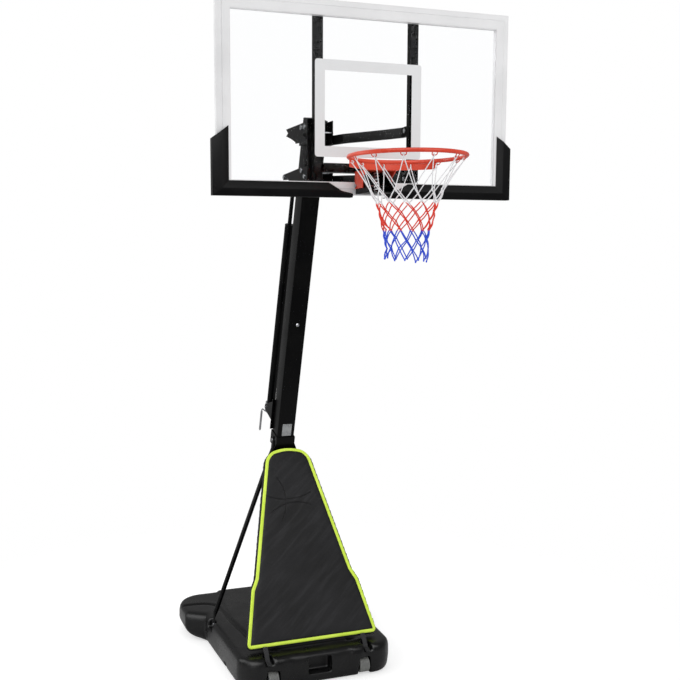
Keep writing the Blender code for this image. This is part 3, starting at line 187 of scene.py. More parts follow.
def loft(bm: Mesh, rings: list[list[Point]]) -> None:
    """Skin rings of equally many points, and close both ends.

    Args:
        bm: The mesh being modelled.
        rings: The points of each ring, in the same order round it.
    """
    made = [[bm.verts.new(point) for point in ring] for ring in rings]
    for first, second in zip(made, made[1:]):
        for i, vert in enumerate(first):
            j = (i + 1) % len(first)
            bm.faces.new((vert, first[j], second[j], second[i]))
    bm.faces.new(made[0][::-1])
    bm.faces.new(made[-1])


def section(bm: Mesh, sides: int, radius: float, place: Matrix) -> list:
    """Add one ring of a swept section and return its edges."""
    made = bmesh.ops.create_circle(bm, segments=sides, radius=radius, matrix=place)
    return list({edge for v in made["verts"] for edge in v.link_edges})


def rod(bm: Mesh, path: list[Vector], radius: float, sides: int, closed: bool = False) -> None:
    """Sweep a round section along a path.

    Args:
        bm: The mesh being modelled.
        path: The points the middle follows.
        radius: Half of the section's width.
        sides: The faces round the section.
        closed: Whether the path closes on itself.
    """
    points = [Vector(point) for point in path]
    count = len(points)
    normal = None
    rings = []
    for i, point in enumerate(points):
        before = points[i - 1] if closed or i else point
        after = points[(i + 1) % count] if closed or i < count - 1 else point
        way = (after - before).normalized()
        if normal is None:
            normal = way.orthogonal().normalized()
        normal = (normal - way * normal.dot(way)).normalized()
        frame = Matrix((normal, way.cross(normal), way)).transposed().to_4x4()
        rings.append(section(bm, sides, radius, Matrix.Translation(point) @ frame))
    bridge(bm, rings, closed)
    if not closed:
        bmesh.ops.holes_fill(bm, edges=rings[0] + rings[-1], sides=sides)


def soften(bm: Mesh, width: float, segments: int, least: float) -> None:
    """Round the edges that turn more than an angle.

    Args:
        bm: The mesh being modelled.
        width: The width of the rounding.
        segments: The faces across it.
        least: The smallest turn, in degrees, that is rounded.
    """
    edges = [e for e in bm.edges
             if len(e.link_faces) == 2 and e.calc_face_angle(0.0) > math.radians(least)]
    bmesh.ops.bevel(bm, geom=edges, offset=width, offset_type="OFFSET", affect="EDGES",
                    segments=segments, profile=0.5, material=-1, clamp_overlap=True)


def to_object(bm: Mesh, name: str) -> bpy.types.Object:
    """Turn a bmesh into an object in the scene.

    Args:
        bm: The modelled mesh, freed here.
        name: The name of the object and of its mesh.

    Returns:
        The new object.
    """
    mesh = bpy.data.meshes.new(name)
    bm.to_mesh(mesh)
    bm.free()
    item = bpy.data.objects.new(name, mesh)
    bpy.context.scene.collection.objects.link(item)
    return item


def applied(item: bpy.types.Object) -> bpy.types.Mesh:
    """Return an object's mesh with its modifiers applied."""
    return bpy.data.meshes.new_from_object(item.evaluated_get(bpy.context.evaluated_depsgraph_get()))


def keep(bm: Mesh, name: str, material: bpy.types.Material, body: str, slot: str,
         *nodes: str, sharp: float = 40.0) -> bpy.types.Object:
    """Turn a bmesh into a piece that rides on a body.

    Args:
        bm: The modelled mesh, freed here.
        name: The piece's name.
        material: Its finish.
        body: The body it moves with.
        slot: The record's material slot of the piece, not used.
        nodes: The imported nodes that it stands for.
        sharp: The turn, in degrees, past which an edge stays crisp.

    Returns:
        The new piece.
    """
    for face in bm.faces:
        face.smooth = True
    for edge in bm.edges:
        edge.smooth = edge.calc_face_angle(math.pi) < math.radians(sharp)
    piece = to_object(bm, name)
    piece.data.materials.append(material)
    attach(piece, body)
    if nodes:
        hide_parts(*nodes)
    LOG.info("%s on %s: %d faces", name, body, len(piece.data.polygons))
    return piece


def rounded(corners: list[Flat], radii: list[float], steps: int) -> list[Flat]:
    """Round the corners of a flat outline.

    Args:
        corners: The outline's corners in order.
        radii: The rounding at each corner.
        steps: The pieces of each rounding.

    Returns:
        The rounded outline.
    """
    points = []
    for i, corner in enumerate(corners):
        here = Vector(corner)
        back = (Vector(corners[i - 1]) - here).normalized()
        ahead = (Vector(corners[(i + 1) % len(corners)]) - here).normalized()
        half = math.acos(max(-1.0, min(1.0, back.dot(ahead)))) / 2
        reach = radii[i] / math.tan(half)
        start, end = here + back * reach, here + ahead * reach
        centre = here + (back + ahead).normalized() * (radii[i] / math.sin(half))
        for step in range(steps + 1):
            point = centre + (start.lerp(end, step / steps) - centre).normalized() * radii[i]
            points.append((point.x, point.y))
    return points


def smooth_path(points: list[Point], steps: int) -> list[Vector]:
    """Run a smooth open curve through points.

    Args:
        points: The points it passes.
        steps: The pieces between two points.

    Returns:
        The points along the curve.
    """
    spots = [Vector(point) for point in points]
    made = []
    for i in range(len(spots) - 1):
        p1, p2 = spots[i], spots[i + 1]
        p0 = spots[i - 1] if i else p1 * 2 - p2
        p3 = spots[i + 2] if i + 2 < len(spots) else p2 * 2 - p1
        for step in range(steps):
            t = step / steps
            made.append(0.5 * (2 * p1 + (p2 - p0) * t + (2 * p0 - 5 * p1 + 4 * p2 - p3) * t ** 2
                               + (3 * p1 - p0 - 3 * p2 + p3) * t ** 3))
    return made + [spots[-1]]


# ------------------------------------------------------------------- finishes


@dataclass
class Graph:
    """A node tree being wired."""

    tree: bpy.types.NodeTree

    def fill(self, node: bpy.types.Node, inputs: dict) -> None:
        """Give a node's inputs a socket to follow or a value to hold.

        Args:
            node: The node to feed.
            inputs: Each input's name or number, with its socket or value.
        """
        for key, value in inputs.items():
            socket = node.inputs[key]
            if isinstance(value, Socket):
                self.tree.links.new(value, socket)
            else:
                socket.default_value = (*value, 1.0) if socket.type == "RGBA" else value

    def add(self, kind: str, inputs: dict | None = None, **settings: object) -> bpy.types.Node:
        """Add a node.

        Args:
            kind: The node's type.
            inputs: What its inputs follow or hold.
            settings: Its properties, set before its inputs.

        Returns:
            The new node.
        """
        node = self.tree.nodes.new(kind)
        for name, value in settings.items():
            setattr(node, name, value)
        self.fill(node, inputs or {})
        return node

    def place(self) -> Socket:
        """Return the place on the object."""
        return self.add("ShaderNodeTexCoord").outputs["Object"]

    def maths(self, operation: str, first: object, second: object = None) -> Socket:
        """Return a sum of sockets or numbers."""
        inputs = {0: first} if second is None else {0: first, 1: second}
        return self.add("ShaderNodeMath", inputs, operation=operation).outputs[0]

    def mix(self, mask: object, first: object, second: object) -> Socket:
        """Return two colours mixed by a mask."""
        return self.add("ShaderNodeMix", {0: mask, 6: first, 7: second}, data_type="RGBA").outputs[2]

    def stretch(self, value: Socket, low: float, high: float, to_low: float = 0.0,
                to_high: float = 1.0) -> Socket:
        """Return a range of values mapped smoothly onto another."""
        inputs = {"Value": value, "From Min": low, "From Max": high, "To Min": to_low, "To Max": to_high}
        return self.add("ShaderNodeMapRange", inputs, interpolation_type="SMOOTHSTEP").outputs["Result"]

    def noise(self, vector: Socket, scale: object, detail: float = 4.0, rough: float = 0.55) -> Socket:
        """Return a noise texture's value."""
        inputs = {"Vector": vector, "Scale": scale, "Detail": detail, "Roughness": rough}
        return self.add("ShaderNodeTexNoise", inputs).outputs["Fac"]

    def bump(self, height: Socket, distance: object) -> Socket:
        """Return the normal of a surface raised by a height."""
        inputs = {"Strength": 1.0, "Height": height, "Distance": distance}
        return self.add("ShaderNodeBump", inputs).outputs[0]

    def effect(self, tree: bpy.types.NodeTree, inputs: dict) -> bpy.types.Node:
        """Add one of the shared groups."""
        return self.add("ShaderNodeGroup", inputs, node_tree=tree)


def new_material(name: str) -> tuple[bpy.types.Material, Graph, bpy.types.Node]:
    """Start a material.

    Args:
        name: The material's name.

    Returns:
        The material, its graph and its shader.
    """
    material = bpy.data.materials.new(name)
    material.use_nodes = True
    return material, Graph(material.node_tree), material.node_tree.nodes["Principled BSDF"]


@dataclass(frozen=True)
class Effects:
    """The shader groups that several finishes share."""

    tone: bpy.types.NodeTree
    grain: bpy.types.NodeTree
    scuffs: bpy.types.NodeTree
    dust: bpy.types.NodeTree

    @staticmethod
    def group(name: str, inputs: dict[str, str], outputs: dict[str, str]) -> tuple:
        """Start a group with named sockets.

        Args:
            name: The group's name.
            inputs: Each input's name and socket type.
            outputs: Each output's name and socket type.

        Returns:
            The group, its graph, its inputs and its output node.
        """
        tree = bpy.data.node_groups.new(name, "ShaderNodeTree")
        for sockets, way in ((inputs, "INPUT"), (outputs, "OUTPUT")):
            for label, kind in sockets.items():
                tree.interface.new_socket(name=label, in_out=way, socket_type="NodeSocket" + kind)
        return tree, Graph(tree), tree.nodes.new("NodeGroupInput").outputs, tree.nodes.new("NodeGroupOutput")

    @classmethod
    def build(cls) -> "Effects":
        """Build every shared group once.

        Returns:
            The groups.
        """
        tone, g, entry, leave = cls.group("tone_spread", {"Low": "Color", "High": "Color", "Scale": "Float"},
                                          {"Color": "Color", "Mask": "Float"})
        mask = g.stretch(g.noise(g.place(), entry["Scale"], 5.0), 0.32, 0.68)
        g.fill(leave, {"Color": g.mix(mask, entry["Low"], entry["High"]), "Mask": mask})

        grain, g, entry, leave = cls.group("surface_grain", {"Scale": "Float", "Depth": "Float"},
                                           {"Normal": "Vector"})
        place = g.place()
        broad = g.noise(place, g.maths("MULTIPLY", entry["Scale"], 0.08), 2.0)
        height = g.maths("ADD", g.noise(place, entry["Scale"], 3.0), g.maths("MULTIPLY", broad, 2.5))
        g.fill(leave, {"Normal": g.bump(height, entry["Depth"])})

        scuffs, g, entry, leave = cls.group("scuffs", {"Scale": "Float", "Amount": "Float"},
                                            {"Mask": "Float"})
        place = g.place()
        turn = g.add("ShaderNodeMapping", {"Vector": place, "Rotation": (0.5, 0.3, 0.6),
                                           "Scale": (1.0, 7.0, 1.0)}).outputs["Vector"]
        streak = g.stretch(g.noise(turn, entry["Scale"], 6.0, 0.7), 0.58, 0.70)
        patch = g.stretch(g.noise(place, g.maths("MULTIPLY", entry["Scale"], 0.2), 2.0), 0.45, 0.65)
        g.fill(leave, {"Mask": g.maths("MULTIPLY", g.maths("MULTIPLY", streak, patch), entry["Amount"])})

        dust, g, entry, leave = cls.group("settled_dust", {"Amount": "Float"}, {"Mask": "Float"})
        normal = g.add("ShaderNodeNewGeometry").outputs["Normal"]
        level = g.stretch(g.add("ShaderNodeSeparateXYZ", {"Vector": normal}).outputs["Z"], 0.55, 1.0)
        cloud = g.stretch(g.noise(g.place(), 9.0, 6.0, 0.65), 0.38, 0.72, 0.25, 1.0)
        g.fill(leave, {"Mask": g.maths("MULTIPLY", g.maths("MULTIPLY", level, cloud), entry["Amount"])})
        return cls(tone, grain, scuffs, dust)


@dataclass(frozen=True)
class Finish:
    """A paint, plating or moulded plastic with tone, grain, scuffs and dust."""

    name: str
    low: Colour
    high: Colour
    roughness: float
    spread: float = 0.08
    metallic: float = 0.0
    specular: float = 0.5
    tone_scale: float = 6.0
    grain_scale: float = 900.0
    grain_depth: float = 0.00015
    scuff: float = 0.0
    scuff_colour: Colour = (0.25, 0.25, 0.26)
    dust: float = 0.0
    dust_colour: Colour = (0.16, 0.155, 0.145)

    def make(self, effects: Effects) -> bpy.types.Material:
        """Build the material.

        Args:
            effects: The shared shader groups.

        Returns:
            The finished material.
        """
        material, graph, shader = new_material(self.name)
        tone = graph.effect(effects.tone, {"Low": self.low, "High": self.high, "Scale": self.tone_scale})
        colour = tone.outputs["Color"]
        rough = graph.stretch(tone.outputs["Mask"], 0.0, 1.0, self.roughness - self.spread,
                              self.roughness + self.spread)
        if self.scuff:
            worn = graph.effect(effects.scuffs, {"Scale": self.tone_scale * 4, "Amount": self.scuff})
            colour = graph.mix(worn.outputs["Mask"], colour, self.scuff_colour)
        if self.dust:
            mask = graph.effect(effects.dust, {"Amount": self.dust}).outputs["Mask"]
            colour = graph.mix(mask, colour, self.dust_colour)
            rough = graph.maths("ADD", rough, graph.maths("MULTIPLY", mask, 0.3))
        grain = graph.effect(effects.grain, {"Scale": self.grain_scale, "Depth": self.grain_depth})
        graph.fill(shader, {"Metallic": self.metallic, "Specular IOR Level": self.specular,
                            "Base Color": colour, "Roughness": rough, "Normal": grain.outputs["Normal"]})
        return material


@dataclass(frozen=True)
class ClearSheet:
    """Clear plastic sheet with faint wipe marks."""

    name: str = "clear_sheet"

    def make(self, effects: Effects) -> bpy.types.Material:
        """Build the material.

        Args:
            effects: The shared shader groups.

        Returns:
            The finished material.
        """
        material, graph, shader = new_material(self.name)
        worn = graph.effect(effects.scuffs, {"Scale": 10.0, "Amount": 1.0})
        rough = graph.stretch(worn.outputs["Mask"], 0.0, 1.0, 0.0, 0.03)
        graph.fill(shader, {"Base Color": (0.985, 0.99, 0.995), "Transmission Weight": 1.0, "IOR": 1.04,
                            "Roughness": rough})
        return material


@dataclass(frozen=True)
class NetTwine:
    """Braided twine dyed white, red and blue from the top down."""

    name: str = "net_twine"
    red_from: float = 2.446
    blue_from: float = 2.338
    fade: float = 0.004

    def make(self, effects: Effects) -> bpy.types.Material:
        """Build the material.

        Args:
            effects: The shared shader groups, which twine does without.

        Returns:
            The finished material.
        """
        material, graph, shader = new_material(self.name)
        place = graph.place()
        drift = graph.maths("MULTIPLY", graph.maths("SUBTRACT", graph.noise(place, 25.0), 0.5), 0.016)
        parts = graph.add("ShaderNodeSeparateXYZ", {"Vector": place})
        height = graph.maths("ADD", parts.outputs["Z"], drift)
        fleck = graph.noise(place, 60.0)
        white = graph.mix(fleck, painted(232, 234, 238), painted(252, 252, 253))
        red = graph.mix(fleck, painted(226, 34, 22), painted(252, 74, 46))
        colour = graph.mix(fleck, painted(24, 44, 196), painted(60, 108, 252))
        for start, dye in ((self.blue_from, red), (self.red_from, white)):
            colour = graph.mix(graph.stretch(height, start - self.fade, start + self.fade), colour, dye)
        braid = graph.add("ShaderNodeTexWave", {"Vector": place, "Scale": 180.0, "Distortion": 1.5})
        graph.fill(shader, {"Roughness": 0.8, "Specular IOR Level": 0.25, "Sheen Weight": 0.15,
                            "Base Color": colour, "Normal": graph.bump(braid.outputs["Fac"], 0.0006)})
        return material


@dataclass(frozen=True)
class PadCover:
    """Black coated cloth with leather grain, creases, embossed ball seams, painted sheen on the creases and
    painted shade in the seams.
    """

    name: str
    lean: float
    foot: Point
    ball: Flat
    ball_radius: float
    low: Colour = painted(17, 17, 18)
    high: Colour = painted(26, 26, 28)
    # painted sheen: a lighter colour laid along the creases where light would catch them
    painted_sheen: Colour = painted(44, 44, 47)
    # painted shade: the darker colour put into the pressed seam grooves
    painted_seam_shade: Colour = painted(12, 12, 13)
    crease_angle: float = math.radians(-38)

    def make(self, effects: Effects) -> bpy.types.Material:
        """Build the material.

        Args:
            effects: The shared shader groups.

        Returns:
            The finished material.
        """
        material, graph, shader = new_material(self.name)
        place = graph.place()
        tone = graph.effect(effects.tone, {"Low": self.low, "High": self.high, "Scale": 3.5})
        slanted = graph.add("ShaderNodeMapping", vector_type="TEXTURE")
        graph.fill(slanted, {"Vector": place, "Rotation": (0.0, self.crease_angle, 0.0),
                             "Scale": (1.0, 1.0, 0.12)})
        crease = graph.noise(slanted.outputs["Vector"], 4.0, 4.0)
        flat = graph.add("ShaderNodeMapping", vector_type="TEXTURE")
        graph.fill(flat, {"Vector": place, "Location": self.foot, "Rotation": (-self.lean, 0.0, 0.0)})
        seams = self.seam_mask(graph, flat.outputs["Vector"])
        # painted sheen: the crease noise lightens the colour as a highlight would
        painted_sheen = graph.maths("MULTIPLY", graph.stretch(crease, 0.5, 0.75), 0.35)
        colour = graph.mix(painted_sheen, tone.outputs["Color"], self.painted_sheen)
        # painted shade: the seam grooves are darkened as shade inside them would be
        colour = graph.mix(graph.maths("MULTIPLY", seams, 0.75), colour, self.painted_seam_shade)
        fine = graph.maths("MULTIPLY", graph.noise(place, 700.0, 2.0), 0.08)
        folds = graph.maths("MULTIPLY", graph.noise(slanted.outputs["Vector"], 5.0, 3.0), 0.8)
        height = graph.maths("SUBTRACT", graph.maths("ADD", fine, folds), graph.maths("MULTIPLY", seams, 0.9))
        graph.fill(shader, {"Specular IOR Level": 0.22, "Base Color": colour,
                            "Roughness": graph.stretch(crease, 0.3, 0.7, 0.62, 0.46),
                            "Normal": graph.bump(height, 0.0025)})
        return material

    def seam_mask(self, graph: Graph, place: Socket) -> Socket:
        """Return a mask of the ball's seams, pressed into the cover.

        Args:
            graph: The material's graph.
            place: The place on the pad, across, out of and up its face.

        Returns:
            The mask, 1 in the middle of a seam.
        """
        parts = graph.add("ShaderNodeSeparateXYZ", {"Vector": place})
        across = graph.maths("SUBTRACT", parts.outputs["X"], self.ball[0])
        up = graph.maths("SUBTRACT", parts.outputs["Z"], self.ball[1])
        radius = self.ball_radius

        def distance(share_x: float, share_z: float) -> Socket:
            """Return how far the place is from a point given in shares of the ball's radius."""
            squares = []
            for socket, share in ((across, share_x), (up, share_z)):
                off = graph.maths("SUBTRACT", socket, radius * share)
                squares.append(graph.maths("MULTIPLY", off, off))
            return graph.maths("SQRT", graph.maths("ADD", *squares))

        lines = []
        for share_x, share_z, ring in ((-1.75, 0.0, 1.6), (0.0, 2.3, 2.35), (0.2, -1.9, 1.7)):
            off = graph.maths("SUBTRACT", distance(share_x, share_z), radius * ring)
            lines.append(graph.stretch(graph.maths("ABSOLUTE", off), 0.0035, 0.0008))
        mask = graph.maths("MAXIMUM", lines[0], graph.maths("MAXIMUM", lines[1], lines[2]))
        return graph.maths("MULTIPLY", mask, graph.stretch(distance(0.0, 0.0), radius * 1.02, radius * 0.98))


# ------------------------------------------------------------------ the stand


@dataclass
class Paints:
    """Every finish of the stand, ready to use."""

    effects: Effects

    def __post_init__(self) -> None:
        """Make the finishes."""
        rows = [
            Finish("powder_black", painted(2, 2, 3), painted(5, 5, 5), 0.30, 0.05, specular=0.12,
                   grain_scale=1400.0, grain_depth=0.00003, scuff=0.12, scuff_colour=painted(26, 26, 28),
                   dust=0.04),
            Finish("powder_white", painted(222, 222, 223), painted(230, 230, 231), 0.38, 0.05, specular=0.4,
                   grain_scale=1100.0, grain_depth=0.00006),
            Finish("zinc_plate", painted(168, 170, 174), painted(212, 214, 218), 0.30, metallic=1.0,
                   tone_scale=60.0, grain_scale=2500.0, grain_depth=0.00005),
            Finish("rim_orange", painted(206, 58, 34), painted(224, 74, 46), 0.30, 0.05,
                   grain_scale=1300.0, grain_depth=0.00008, scuff=0.35, scuff_colour=painted(140, 30, 16)),
            Finish("tank_plastic", painted(6, 6, 7), painted(11, 11, 12), 0.30, 0.05, specular=0.30,
                   grain_scale=1600.0, grain_depth=0.00022, scuff=0.25, scuff_colour=painted(52, 52, 55),
                   dust=0.10, dust_colour=painted(40, 39, 38)),
            Finish("pad_rubber", painted(5, 5, 6), painted(9, 9, 10), 0.42, 0.06, specular=0.16,
                   grain_scale=1500.0, grain_depth=0.00012, scuff=0.10, scuff_colour=painted(40, 40, 43)),
            Finish("black_trim", painted(9, 9, 10), painted(18, 18, 20), 0.45, specular=0.35,
                   grain_scale=1600.0),
            Finish("wheel_grey", painted(98, 99, 98), painted(124, 125, 122), 0.55, scuff=0.6,
                   scuff_colour=painted(52, 52, 52), dust=0.4, dust_colour=painted(128, 124, 116)),
            Finish("grip_grey", painted(112, 112, 114), painted(136, 136, 138), 0.5, 0.06),
            Finish("lime_piping", painted(206, 236, 66), painted(224, 250, 92), 0.5, 0.05, specular=0.35,
                   grain_scale=1800.0, grain_depth=0.0001),
            Finish("water", painted(118, 142, 150), painted(140, 160, 166), 0.08, 0.02),
            Finish("label_foil", painted(150, 152, 154), painted(184, 186, 188), 0.34, metallic=0.9,
                   tone_scale=40.0),
            Finish("target_print", painted(221, 222, 223), painted(226, 227, 228), 0.45, 0.05,
                   specular=0.4, grain_depth=0.00002),
            Finish("webbing", painted(26, 26, 28), painted(40, 40, 42), 0.8, 0.05, grain_scale=700.0,
                   grain_depth=0.0004),
            ClearSheet(), NetTwine(),
        ]
        self.made = {row.name: row.make(self.effects) for row in rows}

    def __getitem__(self, name: str) -> bpy.types.Material:
        """Return a finish by its name."""
        return self.made[name]


@dataclass
class Studio:
    """Floor, lights, backdrop and camera."""

    eye: Point = (-1.6751, -4.8525, 2.2437)
    tilt: Point = (math.radians(83.35), 0.0, math.radians(-18.57))
    roll: float = -0.0034
    lens: float = 48.735
    shift: Flat = (0.0888, 0.0327)
    sky: float = 0.78
    window: Point = (-0.45, -0.62, 0.64)
    window_glow: float = 4.0
    dusk: float = 0.30
    floor_radius: float = 2.6
    floor_tone: float = 0.7
    floor_glow: float = 0.5

    def build(self) -> None:
        """Set up everything that isn't the stand."""
        self.camera()
        self.world()
        self.floor()
        self.lamp("side_window", (-3.6, 0.6, 2.6), (0.0, -0.2, 1.4), (2.6, 3.4), 70.0)
        self.lamp("front_panel", (1.8, -5.6, 4.2), (0.0, -0.6, 1.8), (3.0, 3.0), 60.0)

    def camera(self) -> None:
        """Place the camera at the photograph's viewing angle."""
        lens = bpy.data.cameras.new("camera")
        lens.lens = self.lens
        lens.sensor_width = 36.0
        lens.shift_x, lens.shift_y = self.shift
        camera = bpy.data.objects.new("camera", lens)
        camera.location = self.eye
        aim = Euler(self.tilt).to_matrix() @ Matrix.Rotation(self.roll, 3, "Z")
        camera.rotation_euler = aim.to_euler()
        bpy.context.scene.collection.objects.link(camera)
        bpy.context.scene.camera = camera

    def world(self) -> None:
        """Light the stand evenly, show plain white behind it and mirror one soft window in its gloss."""
        world = bpy.data.worlds.new("studio")
        bpy.context.scene.world = world
        world.use_nodes = True
        graph = Graph(world.node_tree)
        world.node_tree.nodes.clear()
        path = graph.add("ShaderNodeLightPath").outputs
        seen = graph.maths("MAXIMUM", path["Is Camera Ray"], path["Is Transmission Ray"])
        facing = graph.add("ShaderNodeVectorMath",
                           {0: graph.add("ShaderNodeTexCoord").outputs["Generated"],
                            1: Vector(self.window).normalized()}, operation="DOT_PRODUCT")
        mirrored = graph.stretch(facing.outputs["Value"], 0.80, 0.93, self.dusk, self.window_glow)
        other = graph.maths("SUBTRACT", 1.0, path["Is Glossy Ray"])
        lit = graph.maths("ADD", graph.maths("MULTIPLY", path["Is Glossy Ray"], mirrored),
                          graph.maths("MULTIPLY", other, self.sky))
        back = graph.add("ShaderNodeBackground", {"Color": (1.0, 1.0, 1.0),
                                                  "Strength": graph.maths("MAXIMUM", seen, lit)})
        graph.add("ShaderNodeOutputWorld", {"Surface": back.outputs[0]})

    def floor(self) -> None:
        """Lay a pale round floor that fades out at its rim."""
        bm = bmesh.new()
        bmesh.ops.create_circle(bm, cap_ends=True, segments=96, radius=self.floor_radius)
        floor = to_object(bm, "floor")
        material, graph, _ = new_material("floor_paper")
        material.node_tree.nodes.clear()
        tone = (self.floor_tone,) * 3
        matt = graph.add("ShaderNodeBsdfDiffuse", {"Color": tone})
        seen = graph.add("ShaderNodeLightPath").outputs["Is Camera Ray"]
        glow = graph.add("ShaderNodeEmission", {"Strength": graph.maths("MULTIPLY", seen, self.floor_glow)})
        paper = graph.add("ShaderNodeAddShader", {0: matt.outputs[0], 1: glow.outputs[0]})
        clear = graph.add("ShaderNodeBsdfTransparent")
        radial = graph.add("ShaderNodeVectorMath", {0: graph.place()}, operation="LENGTH")
        fade = graph.stretch(radial.outputs["Value"], self.floor_radius * 0.45, self.floor_radius * 0.98)
        mixed = graph.add("ShaderNodeMixShader", {0: fade, 1: paper.outputs[0], 2: clear.outputs[0]})
        graph.add("ShaderNodeOutputMaterial", {"Surface": mixed.outputs[0]})
        floor.data.materials.append(material)

    def lamp(self, name: str, spot: Point, aim: Point, size: Flat, power: float) -> None:
        """Hang a soft panel lamp.

        Args:
            name: The lamp's name.
            spot: Where it hangs.
            aim: The point it faces.
            size: Its width and height.
            power: Its power in watts.
        """
        panel = bpy.data.lights.new(name, "AREA")
        panel.shape = "RECTANGLE"
        panel.size, panel.size_y = size
        panel.energy = power
        lamp = bpy.data.objects.new(name, panel)
        lamp.location = spot
        lamp.rotation_euler = (Vector(aim) - Vector(spot)).to_track_quat("-Z", "Y").to_euler()
        bpy.context.scene.collection.objects.link(lamp)


@dataclass
class Tank:
    """The blow-moulded base with its filler cap and wheels.

    A level is its height, its inset and its tuck; a front lobe is its middle and half its width.
    """

    paints: Paints
    length: float = 1.060
    front_width: float = 0.860
    waist: Flat = (0.452, 0.165)
    lobe: Flat = (0.555, 0.232)
    height: float = 0.170
    front_corner: float = 0.110
    rear_corner: float = 0.150
    levels: tuple = ((0.001, 0.010, 1.0), (0.006, 0.002, 0.90), (0.018, 0.0, 0.62), (0.034, 0.0, 0.34),
                     (0.055, 0.0, 0.12), (0.080, 0.0, 0.0), (0.125, 0.001, 0.0), (0.144, 0.005, 0.0),
                     (0.156, 0.012, 0.0), (0.1625, 0.022, 0.0), (0.1645, 0.036, 0.0))
    front_lobes: tuple = ((0.355, 0.058), (0.213, 0.043), (0.0, 0.150))
    dent_depth: float = 0.011
    deck: tuple = ((0.285, 0.524), (0.300, 0.330), (0.320, 0.0), (0.285, -0.330), (0.200, -0.405))
    deck_corners: tuple = (0.015, 0.1, 0.1, 0.05, 0.05)
    groove: tuple = ((0.580, 0.352), (0.470, 0.350), (0.395, 0.330), (0.352, 0.285), (0.341, 0.190),
                     (0.330, 0.040), (0.314, -0.100), (0.300, -0.230), (0.290, -0.330), (0.255, -0.400),
                     (0.190, -0.420))
    groove_top: float = 0.168
    groove_radius: float = 0.0135
    pole_half: float = 0.0535
    recess: Point = (0.065, 0.053, 0.139)
    recess_depth: float = 0.060
    wheel_at: Point = (0.257, -0.490, 0.050)
    wheel_radius: float = 0.042
    wheel_width: float = 0.055
    well: Point = (0.0335, 0.088, 0.098)
    notch: Point = (0.4135, 0.077, 0.112)
    cap_y: float = 0.100
    voxel: float = 0.0055

    def outline(self, inset: float, tuck: float) -> list[Flat]:
        """Return the plan outline at one level of the moulding.

        Args:
            inset: How far the level is drawn in all round.
            tuck: How far its lobes are tucked in, from 0 to 1 at the foot.

        Returns:
            The outline in order round it.
        """
        end = self.length / 2
        right = [(self.front_width / 2 - 0.012 * tuck, -end + 0.014 * tuck),
                 (self.waist[0] - 0.012 * tuck, self.waist[1] + 0.004 * tuck),
                 (self.lobe[0] - 0.088 * tuck, self.lobe[1] - 0.004 * tuck),
                 (self.lobe[0] - 0.088 * tuck, end - 0.030 * tuck)]
        right = [(x - inset, y + (inset if y < 0.25 else -inset)) for x, y in right]
        radii = [self.front_corner - inset, 0.018, 0.010 if tuck > 0.9 else 0.024 - 0.012 * tuck,
                 self.rear_corner - 0.04 * tuck - inset]
        return rounded(right + [(-x, y) for x, y in right[::-1]], radii + radii[::-1], 8)

    def cutters(self) -> bpy.types.Object:
        """Model everything that is taken out of the moulding.

        Returns:
            The cutters as one object.
        """
        bm = bmesh.new()
        half = self.pole_half
        socket = block(bm, (-half, -half, 0.0447), (half, half, 0.40))
        bmesh.ops.transform(bm, matrix=pole_place(), verts=socket)
        front = -self.length / 2
        ahead = front - 0.1
        wide, low, high = self.recess
        block(bm, (-wide, ahead, low), (wide, front + self.recess_depth, high))
        near, middle, base = self.notch
        for side in Side:
            x = side.value * self.wheel_at[0]
            reach, depth, top = self.well
            block(bm, (x - reach, ahead, -0.1), (x + reach, front + depth, top))
            inner, outer = sorted((side.value * near, side.value * 0.62))
            block(bm, (inner, middle - 0.040, base), (outer, middle + 0.040, 0.3))
            x = side.value * STRAP_X
            block(bm, (x - 0.022, ahead, 0.128), (x + 0.022, -0.455, 0.3))
            path = [(side.value * x, y, self.groove_top) for x, y in self.groove]
            rod(bm, smooth_path(path, 5), self.groove_radius, 10)
            x = side.value * 0.441
            block(bm, (x - 0.022, -0.222, -0.05), (x + 0.022, -0.194, 0.040))
        rod(bm, [(-0.19, -0.42, 0.174), (0.19, -0.42, 0.174)], 0.009, 10)
        for crease in (((0.070, -0.533, 0.130), (0.058, -0.533, 0.050)),
                       ((0.172, -0.533, 0.150), (0.118, -0.533, 0.060))):
            rod(bm, crease, 0.006, 8)
        bmesh.ops.recalc_face_normals(bm, faces=bm.faces)
        return to_object(bm, "tank_cutters")

    def build(self) -> None:
        """Model the moulding, the wheels and the cap."""
        self.shell()
        for side in Side:
            self.wheel(side)
        self.cap()

    def shell(self) -> None:
        """Model the moulding: its walls, its raised deck, its cuts, then soft moulded edges."""
        bm = bmesh.new()
        loft(bm, [[(x, y, z) for x, y in self.outline(inset, tuck)] for z, inset, tuck in self.levels])
        body = to_object(bm, "tank_body")
        bm = bmesh.new()
        deck = [(-x, y) for x, y in self.deck] + list(self.deck[::-1])
        slab(bm, rounded(deck, self.deck_corners + self.deck_corners[::-1], 4), 0.060, self.height - 0.001,
             Axis.Z)
        deck, knife = to_object(bm, "tank_deck"), self.cutters()
        for operation, tool in (("UNION", deck), ("DIFFERENCE", knife)):
            carve = body.modifiers.new(tool.name, "BOOLEAN")
            carve.operation = operation
            carve.solver = "EXACT"
            carve.use_self = tool is knife
            carve.object = tool
        mould = body.modifiers.new("mould", "REMESH")
        mould.mode = "VOXEL"
        mould.voxel_size = self.voxel
        melt = body.modifiers.new("melt", "SMOOTH")
        melt.factor = 0.5
        melt.iterations = 6
        body.modifiers.new("thin", "DECIMATE").ratio = 0.45
        mesh = applied(body)
        for item in (body, deck, knife):
            bpy.data.objects.remove(item, do_unlink=True)
        bm = bmesh.new()
        bm.from_mesh(mesh)
        for vert in bm.verts:
            self.dent(vert)
        keep(bm, "tank_shell", self.paints["tank_plastic"], "stand", "tank", "base_tank", "ballast_water",
             sharp=70.0)

